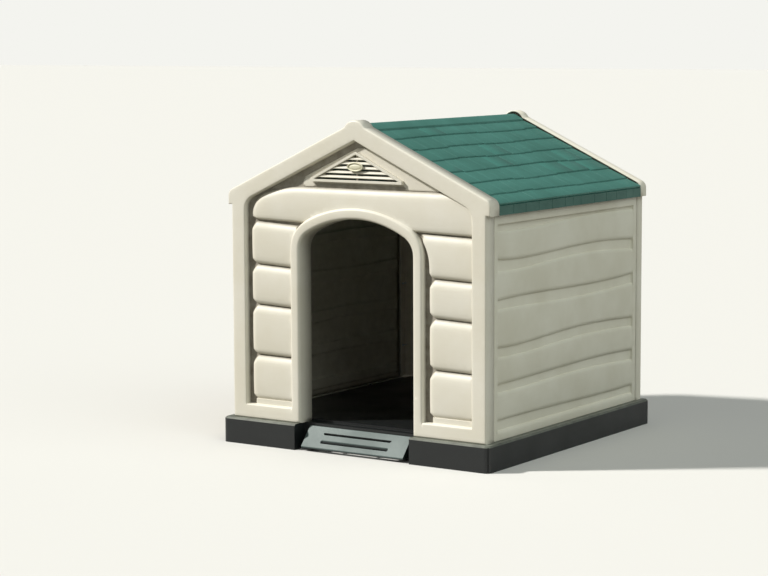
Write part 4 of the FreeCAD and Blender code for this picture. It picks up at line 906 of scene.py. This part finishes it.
def run_tree(name, tree, values):
    """Runs a tree with its inputs set and keeps the result as a plain mesh piece."""
    host = bpy.data.objects.new(name, bpy.data.meshes.new(name + "_seed"))
    scene.collection.objects.link(host)
    modifier = host.modifiers.new("repeat", "NODES")
    modifier.node_group = tree
    for item in tree.interface.items_tree:
        if item.in_out == "INPUT" and item.name in values:
            modifier[item.identifier] = values[item.name]
    return keep_result(host)


def chance(tree, low, high, seed):
    """A random number for each point, between two others."""
    return add(tree, "FunctionNodeRandomValue", {"data_type": "FLOAT"}, i2=low, i3=high, Seed=seed).outputs[1]


def lay_out(tree, count, place, item, size, finish):
    """A copy of an item at each of a number of places, realized and in one finish."""
    points = add(tree, "GeometryNodeMeshLine", {"count_mode": "TOTAL"}, Count=count).outputs[0]
    moved = add(tree, "GeometryNodeSetPosition", None, Geometry=points, Position=place.outputs[0]).outputs[0]
    shape = add(tree, "GeometryNodeObjectInfo", {"transform_space": "ORIGINAL"}, Object=item)
    laid = add(tree, "GeometryNodeInstanceOnPoints", None, Points=moved, Instance=shape.outputs["Geometry"],
               Scale=size.outputs[0])
    real = add(tree, "GeometryNodeRealizeInstances", None, Geometry=laid.outputs[0]).outputs[0]
    return add(tree, "GeometryNodeSetMaterial", None, Geometry=real, Material=finish).outputs[0]


def course_tree():
    """Butted tabs with random widths and a wavy foot, laid flat: X runs down the slope, Y along it."""
    tree, given, result = new_group("tab_courses", [
        ("Tab", "Object", None), ("Finish", "Material", None), ("Tabs", "Int", 12), ("Length", "Float", 0.86),
        ("Start", "Float", 0.1), ("Reach", "Float", 0.07), ("Lap", "Float", 0.004), ("Wave", "Float", 0.004),
        ("Wave Length", "Float", 0.4), ("Wave Start", "Float", 0.0), ("Jitter", "Float", 0.002),
        ("Spread", "Float", 0.4), ("Seed", "Int", 1)])
    get, calc = given.outputs, partial(maths, tree)
    width = chance(tree, calc("SUBTRACT", 1.0, get["Spread"]), calc("ADD", 1.0, get["Spread"]), get["Seed"])
    total = add(tree, "GeometryNodeAccumulateField", {"data_type": "FLOAT"}, i0=width).outputs
    unit = calc("DIVIDE", get["Length"], total["Total"])
    across = calc("MULTIPLY", width, unit)
    middle = calc("ADD", calc("MULTIPLY", total["Trailing"], unit), calc("MULTIPLY", across, 0.5))
    turn = calc("MULTIPLY", calc("DIVIDE", middle, get["Wave Length"]), 2 * math.pi)
    wave = calc("MULTIPLY", calc("SINE", calc("ADD", turn, get["Wave Start"])), get["Wave"])
    jitter = chance(tree, calc("MULTIPLY", get["Jitter"], -1), get["Jitter"], calc("ADD", get["Seed"], 7))
    reach = calc("ADD", calc("ADD", get["Reach"], get["Lap"]), calc("ADD", wave, jitter))
    place = add(tree, "ShaderNodeCombineXYZ", None, X=calc("SUBTRACT", get["Start"], get["Lap"]), Y=middle)
    size = add(tree, "ShaderNodeCombineXYZ", {"Z": 1.0}, X=reach, Y=across)
    tree.links.new(lay_out(tree, get["Tabs"], place, get["Tab"], size, get["Finish"]), result.inputs[0])
    return tree


def form(name, points, faces):
    """A shape in metres that a tree copies."""
    mesh = bpy.data.meshes.new(name)
    mesh.from_pydata(points, [], faces)
    mesh.update()
    return bpy.data.objects.new(name, mesh)


def band_faces(loops, count):
    """Faces between loops of points, each loop with the same count."""
    return [(r * count + i, r * count + (i + 1) % count, (r + 1) * count + (i + 1) % count, (r + 1) * count + i)
            for r in range(loops - 1) for i in range(count)]


def tab_form(name, section, end_drop, ends):
    """A unit tab: a section down its length, swept across a unit width whose ends dip by a little.
    section: (share down the tab, height, whether it belongs to the upper skin), clockwise."""
    stations = [(-0.5, 1.0), (-0.5 + ends, 0.0), (0.5 - ends, 0.0), (0.5, 1.0)]
    section = section[::-1]
    count = len(section)
    points = [(x, y, z - (end_drop * dip if top else 0)) for y, dip in stations for x, z, top in section]
    faces = band_faces(len(stations), count)
    faces += [tuple(range(count))[::-1], tuple(range(len(points) - count, len(points)))]
    return form(name, points, faces)


def join(name, parts, material):
    """One piece from several, in order."""
    points, faces = [], []
    for part in parts:
        first = len(points)
        points += [tuple(c * 1000 for c in v.co) for v in part.data.vertices]
        faces += [tuple(first + i for i in p.vertices) for p in part.data.polygons]
        bpy.data.objects.remove(part)
    return make_piece(name, points, faces, material, 35)


def prism_faces(count):
    """Faces of a prism whose two ends have a number of corners each, one end's points after the other's."""
    sides = [f[::-1] for f in band_faces(2, count)]
    return sides + [tuple(range(count)), tuple(range(count, 2 * count))[::-1]]


def swept(name, section, start, end, material, bevel=0.0):
    """A section in the XZ plane swept from front to rear, with its edges eased."""
    points = [(x, start, z) for x, z in section] + [(x, end, z) for x, z in section]
    piece = make_piece(name, points, prism_faces(len(section)), material, 30)
    if bevel:
        finish_with(piece, "BEVEL", width=bevel / 1000, segments=2, limit_method="ANGLE", harden_normals=False)
    return piece


COURSE_TREE = course_tree()
STEP_M, SKIN_M = COURSE_STEP / 1000, TAB_SKIN / 1000
TAB = tab_form("shingle_tab", [
    (0.0, 0.0, True), (0.5, STEP_M * 0.5, True), (0.955, STEP_M * 0.96, True), (0.985, STEP_M * 0.8, True),
    (1.0, STEP_M * 0.35, True), (0.99, -SKIN_M, False), (0.0, -SKIN_M, False)], 0.0013, 0.02)
FASCIA_TAB = tab_form("fascia_tab", [
    (0.0, 0.0, True), (1.0, 0.0, True), (1.0, -SKIN_M, False), (0.0, -SKIN_M, False)], 0.002, 0.014)

# Each course's foot: height of its wave in millimetres, wave length in metres, start in radians.
WAVES = [(4.5, 0.62, 1.5), (4.0, 0.45, 0.4), (3.5, 0.5, 2.2), (4.5, 0.7, 0.2), (4.0, 0.55, 3.4),
         (2.5, 0.6, 2.0), (0.0, 0.5, 0.0)]
# Under the shingles: a sheet from the ridge to the eave, then the fascia's backing; (across, height).
DECK = [(4, ROOF_TOP - 4 * SLOPE - 3), (4, ROOF_TOP - 4 * SLOPE - 7), (FASCIA_FACE - 4, EAVE + 25),
        (FASCIA_FACE - 4, EAVE), (FASCIA_FACE - 1.5, EAVE), (FASCIA_FACE - 1.5, EAVE + 24),
        (FASCIA_FACE - 6, EAVE + 30)]


def lay_flat(part, down, sign, start):
    """Turns flat courses into place: X to a direction down, Y along the roof, from a corner in millimetres."""
    down, along = Vector(down), Vector((0, sign, 0))
    matrix = Matrix((down, along, down.cross(along))).transposed().to_4x4()
    matrix.translation = [c / 1000 for c in start]
    part.data.transform(matrix)


def roof_courses(name, sign, near_end):
    """Seven courses of shingle tabs on one slope, joined."""
    parts = []
    for i, (wave, length, turn) in enumerate(WAVES):
        start, end = COURSES[i], COURSES[i + 1]
        parts.append(run_tree(f"{name}_{i}", COURSE_TREE, {
            "Tab": TAB, "Finish": GREEN, "Tabs": 11 + (i * 3) % 4, "Length": (ROOF_REAR - ROOF_FRONT) / 1000,
            "Start": start / 1000, "Reach": (end - start) / 1000, "Lap": 0.008 if i else 0.002,
            "Wave": wave / 1000, "Wave Length": length, "Wave Start": turn,
            "Jitter": 0.0022 if i < len(WAVES) - 1 else 0.0, "Spread": 0.45,
            "Seed": 11 + i * 5 + (0 if sign > 0 else 40)}))
        lay_flat(parts[-1], (sign * SLOPE_COS, 0, -SLOPE_SIN), sign, (0, near_end, ROOF_TOP))
    return join(name, parts, GREEN)


for side, sign in (("right", 1), ("left", -1)):
    near_end = ROOF_FRONT if sign > 0 else ROOF_REAR
    hold(roof_courses(f"{side}_roof_shingles", sign, near_end), "roof_plastic", f"{side}_roof_panel")
    deck = [(sign * x, z) for x, z in DECK]
    hold(swept(f"{side}_roof_deck", deck[::sign], ROOF_FRONT, ROOF_REAR, GREEN), "roof_plastic",
         f"{side}_roof_panel")
    fascia = run_tree(f"{side}_roof_fascia", COURSE_TREE, {
        "Tab": FASCIA_TAB, "Finish": SHADED_GREEN, "Tabs": 13, "Length": (ROOF_REAR - ROOF_FRONT) / 1000,
        "Start": 0.0, "Reach": FASCIA_DROP / 1000, "Lap": 0.0, "Wave": 0.0, "Jitter": 0.0,
        "Seed": 3 if sign > 0 else 9})
    lay_flat(fascia, (0, 0, -1), sign, (sign * FASCIA_FACE, near_end, EAVE + FASCIA_DROP))
    hold(join(f"{side}_eave_fascia", [fascia], SHADED_GREEN), "roof_plastic", f"{side}_roof_panel")

# Ridge saddle: sides along the slopes, with a shallow groove along its top; (across, height).
saddle_top = ROOF_TOP + SADDLE_RISE
saddle = [(SADDLE_HALF, ROOF_TOP - SADDLE_HALF * SLOPE - 1),
          (SADDLE_HALF, saddle_top - SADDLE_HALF * SLOPE - 1.5), (10, saddle_top - 10 * SLOPE),
          (4, saddle_top - 2.9)]
saddle = [(-x, z) for x, z in saddle] + [(0, saddle_top - 2.4)] + saddle[::-1] + [(0, ROOF_TOP - 1)]
hold(swept("ridge_saddle", saddle[::-1], ROOF_FRONT, ROOF_REAR, GREEN, 1.2), "roof_plastic", "ridge_cap")

# ---- gable vents


def prism_ring(name, outer, inner, face, sign, front, back, material, ease):
    """A frame between two outlines, swept back from an end wall's face, with eased front edges."""
    count = len(outer)
    ys = (face + sign * front, face + sign * back)
    points = [(x, y, z) for y in ys for loop in (outer, inner) for x, z in loop]
    faces = []
    for i in range(count):
        j = (i + 1) % count
        o0, n0, o1, n1 = 0, count, 2 * count, 3 * count
        faces += [(o0 + i, o0 + j, n0 + j, n0 + i), (o1 + j, o1 + i, n1 + i, n1 + j),
                  (o0 + j, o0 + i, o1 + i, o1 + j), (n0 + i, n0 + j, n1 + j, n1 + i)]
    if sign < 0:
        faces = [f[::-1] for f in faces]
    piece = make_piece(name, points, faces, material, 30)
    return finish_with(piece, "BEVEL", width=ease / 1000, segments=3, limit_method="ANGLE",
                       angle_limit=math.radians(25), harden_normals=False)


def slat_tree():
    """Blades above each other, each as wide as the gable at its height."""
    tree, given, result = new_group("louvre_slats", [
        ("Blade", "Object", None), ("Finish", "Material", None), ("Count", "Int", 5), ("First", "Float", 0.82),
        ("Pitch", "Float", 0.0135), ("Apex", "Float", 0.89), ("Spread", "Float", 2.0), ("Depth", "Float", 0.0)])
    get, calc = given.outputs, partial(maths, tree)
    index = add(tree, "GeometryNodeInputIndex").outputs[0]
    height = calc("ADD", get["First"], calc("MULTIPLY", index, get["Pitch"]))
    width = calc("MULTIPLY", calc("MULTIPLY", calc("SUBTRACT", get["Apex"], height), get["Spread"]), 2.0)
    place = add(tree, "ShaderNodeCombineXYZ", None, Y=get["Depth"], Z=height)
    size = add(tree, "ShaderNodeCombineXYZ", {"Y": 1.0, "Z": 1.0}, X=width)
    tree.links.new(lay_out(tree, get["Count"], place, get["Blade"], size, get["Finish"]), result.inputs[0])
    return tree


def blade_form(sign):
    """A slat one metre long: a rounded blade whose front edge hangs low."""
    cos, sin = math.cos(math.radians(SLAT_TILT)), math.sin(math.radians(SLAT_TILT))
    middle, skin = SLAT_REACH - SLAT_SKIN, (SLAT_SKIN, SLAT_SKIN)
    section = arc((middle, 0), skin, -90, 90, 6) + arc((-middle, 0), skin, 90, 270, 6)
    turned = [(u * cos - v * sin, u * sin + v * cos) for u, v in section]
    points = [(x, sign * y / 1000, z / 1000) for x in (-0.5, 0.5) for y, z in turned]
    faces = prism_faces(len(turned))
    return form("louvre_blade", points, faces if sign > 0 else [f[::-1] for f in faces])


SLAT_TREE = slat_tree()
outer = [(VENT_HALF, VENT_FOOT), (VENT_HALF, VENT_END), (0, VENT_APEX)]
outer += mirrored(outer[:2])
inner = [(LOUVRE_HALF, LOUVRE_FOOT), (LOUVRE_HALF, LOUVRE_APEX - LOUVRE_HALF / 2), (0, LOUVRE_APEX)]
inner += mirrored(inner[:2])
rib = [(-RIB_HALF, RIB_TOP), (RIB_HALF, RIB_TOP), (RIB_HALF, RIB_FOOT), (-RIB_HALF, RIB_FOOT)]
for side, face, sign in (("front", FRONT_FACE, 1), ("rear", REAR_FACE, -1)):
    ring = prism_ring(f"{side}_vent_frame", outer, inner, face, sign, VENT_FACE, VENT_BACK, IVORY, 2.0)
    hold(ring, "vent_plastic", f"{side}_vent_grille")
    slats = run_tree(f"{side}_slats", SLAT_TREE, {
        "Blade": blade_form(sign), "Finish": IVORY, "Count": SLAT_COUNT, "First": SLAT_FIRST / 1000,
        "Pitch": SLAT_PITCH / 1000, "Apex": (LOUVRE_APEX + 4) / 1000, "Spread": 2.0,
        "Depth": (face + sign * SLAT_DEPTH) / 1000})
    hold(join(f"{side}_vent_slats", [slats], IVORY), "vent_plastic", f"{side}_vent_grille")
    low, high = sorted((face + sign * RIB_FRONT, face + sign * RIB_BACK))
    hold(swept(f"{side}_vent_rib", rib, low, high, IVORY, 0.4), "vent_plastic", f"{side}_vent_grille")


def dished_oval(name, centre, rings, face, material):
    """An oval plate from rings of (half width, half height, depth behind the wall's face), outermost first.
    Grime and painted shade darken the groove inside the rim's crest."""
    count = 48
    turns = [2 * math.pi * i / count for i in range(count)]
    points = [(half * math.cos(turn), face + depth, centre + tall * math.sin(turn))
              for half, tall, depth in rings for turn in turns]
    faces = band_faces(len(rings), count)
    last = (len(rings) - 1) * count
    faces += [(last + i, last + (i + 1) % count, len(points)) for i in range(count)]
    faces.append(tuple(range(count))[::-1])
    depths = [ring[2] for ring in rings]
    points.append((0, face + depths[-1] - 0.15, centre))
    crest = depths.index(min(depths))
    hollow = [min(1.0, max(0.0, (depth - depths[-1]) / 3)) if r >= crest else 0.0
              for r, depth in enumerate(depths) for _ in turns] + [0.0]
    return make_piece(name, points, faces, material, 40, hollow)


# Oval badge: a rolled rim round a shallow dished field with a low dome.
badge = dished_oval("vent_badge_plate", BADGE_HEIGHT, BADGE_RINGS, FRONT_FACE, BADGE)
hold(badge, "badge_plastic", "vent_badge")

# ---- carried-over CAD nodes

finishes = {"base": PLINTH, "entry_step": STEP, "wall_corner_screws": STEEL, "wall_foot_screws": STEEL,
            "entry_step_screws": STEEL, "eave_screws": STEEL}
for node, finish in finishes.items():
    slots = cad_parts[node].data.materials
    if not len(slots):
        slots.append(finish)
    for i in range(len(slots)):
        slots[i] = finish

# ---- floor, light and camera


def backdrop(name, seen, bounced):
    """Painted board: pale where it is looked at, darker for the light it throws back."""
    material, tree, shader, _ = new_material(name)
    tree.nodes.remove(shader)
    pale = add(tree, "ShaderNodeBsdfDiffuse", {"Color": linear(seen)})
    dim = add(tree, "ShaderNodeBsdfDiffuse", {"Color": linear(bounced)})
    path = add(tree, "ShaderNodeLightPath").outputs
    looked_at = maths(tree, "MAXIMUM", path["Is Camera Ray"], path["Is Glossy Ray"])
    choice = add(tree, "ShaderNodeMixShader", None, i0=looked_at, i1=dim.outputs[0], i2=pale.outputs[0])
    tree.links.new(choice.outputs[0], tree.nodes["Material Output"].inputs["Surface"])
    return material


REACH = 60000
floor = make_piece("studio_floor",
                   [(-REACH, -REACH, 0), (REACH, -REACH, 0), (REACH, REACH, 0), (-REACH, REACH, 0)],
                   [(0, 1, 2, 3)], backdrop("studio_paint", "#DAD9D6", "#77766C"))

world = bpy.data.worlds.new("studio")
world.use_nodes = True
scene.world = world
sky = world.node_tree
light = sky.nodes["Background"]
light.inputs["Color"].default_value = linear("#F4F6F8")
light.inputs["Strength"].default_value = 0.22
seen = add(sky, "ShaderNodeBackground", {"Color": linear("#F4F4EF"), "Strength": 1.0})
path = add(sky, "ShaderNodeLightPath")
choice = add(sky, "ShaderNodeMixShader", None, i0=path.outputs["Is Camera Ray"], i1=light.outputs[0],
             i2=seen.outputs[0])
sky.links.new(choice.outputs[0], sky.nodes["World Output"].inputs["Surface"])


def lamp(name, towards, strength, angle, colour):
    """A distant lamp that shines from a direction."""
    data = bpy.data.lights.new(name, "SUN")
    data.energy = strength
    data.angle = math.radians(angle)
    data.color = linear(colour)[:3]
    obj = bpy.data.objects.new(name, data)
    obj.rotation_euler = Vector(towards).to_track_quat("Z", "Y").to_euler()
    scene.collection.objects.link(obj)


lamp("key", (-1.35, -1.0, 1.35), 4.35, 4, "#FFFCF6")
lamp("fill", (1.0, -0.2, 0.95), 1.45, 60, "#E9F1EA")

# The picture's camera, fitted to the straight edges of the plinth, the walls and the roof.
YAW, PITCH, ROLL = math.radians(33.952), math.radians(6.574), math.radians(-0.244)
ahead = Vector((-math.sin(YAW) * math.cos(PITCH), math.cos(YAW) * math.cos(PITCH), -math.sin(PITCH)))
level = ahead.cross(Vector((0, 0, 1))).normalized()
above = level.cross(ahead)
right_way = math.cos(ROLL) * level + math.sin(ROLL) * above
up_way = -math.sin(ROLL) * level + math.cos(ROLL) * above
camera_data = bpy.data.cameras.new("camera")
camera_data.lens = 104.09
camera_data.sensor_width = 36
camera_data.clip_end = 100
camera = bpy.data.objects.new("camera", camera_data)
matrix = Matrix((right_way, up_way, -ahead)).transposed().to_4x4()
matrix.translation = Vector((3.684, -5.787, 1.2445))
camera.matrix_world = matrix
scene.collection.objects.link(camera)
scene.camera = camera
scene.view_settings.view_transform = "Standard"
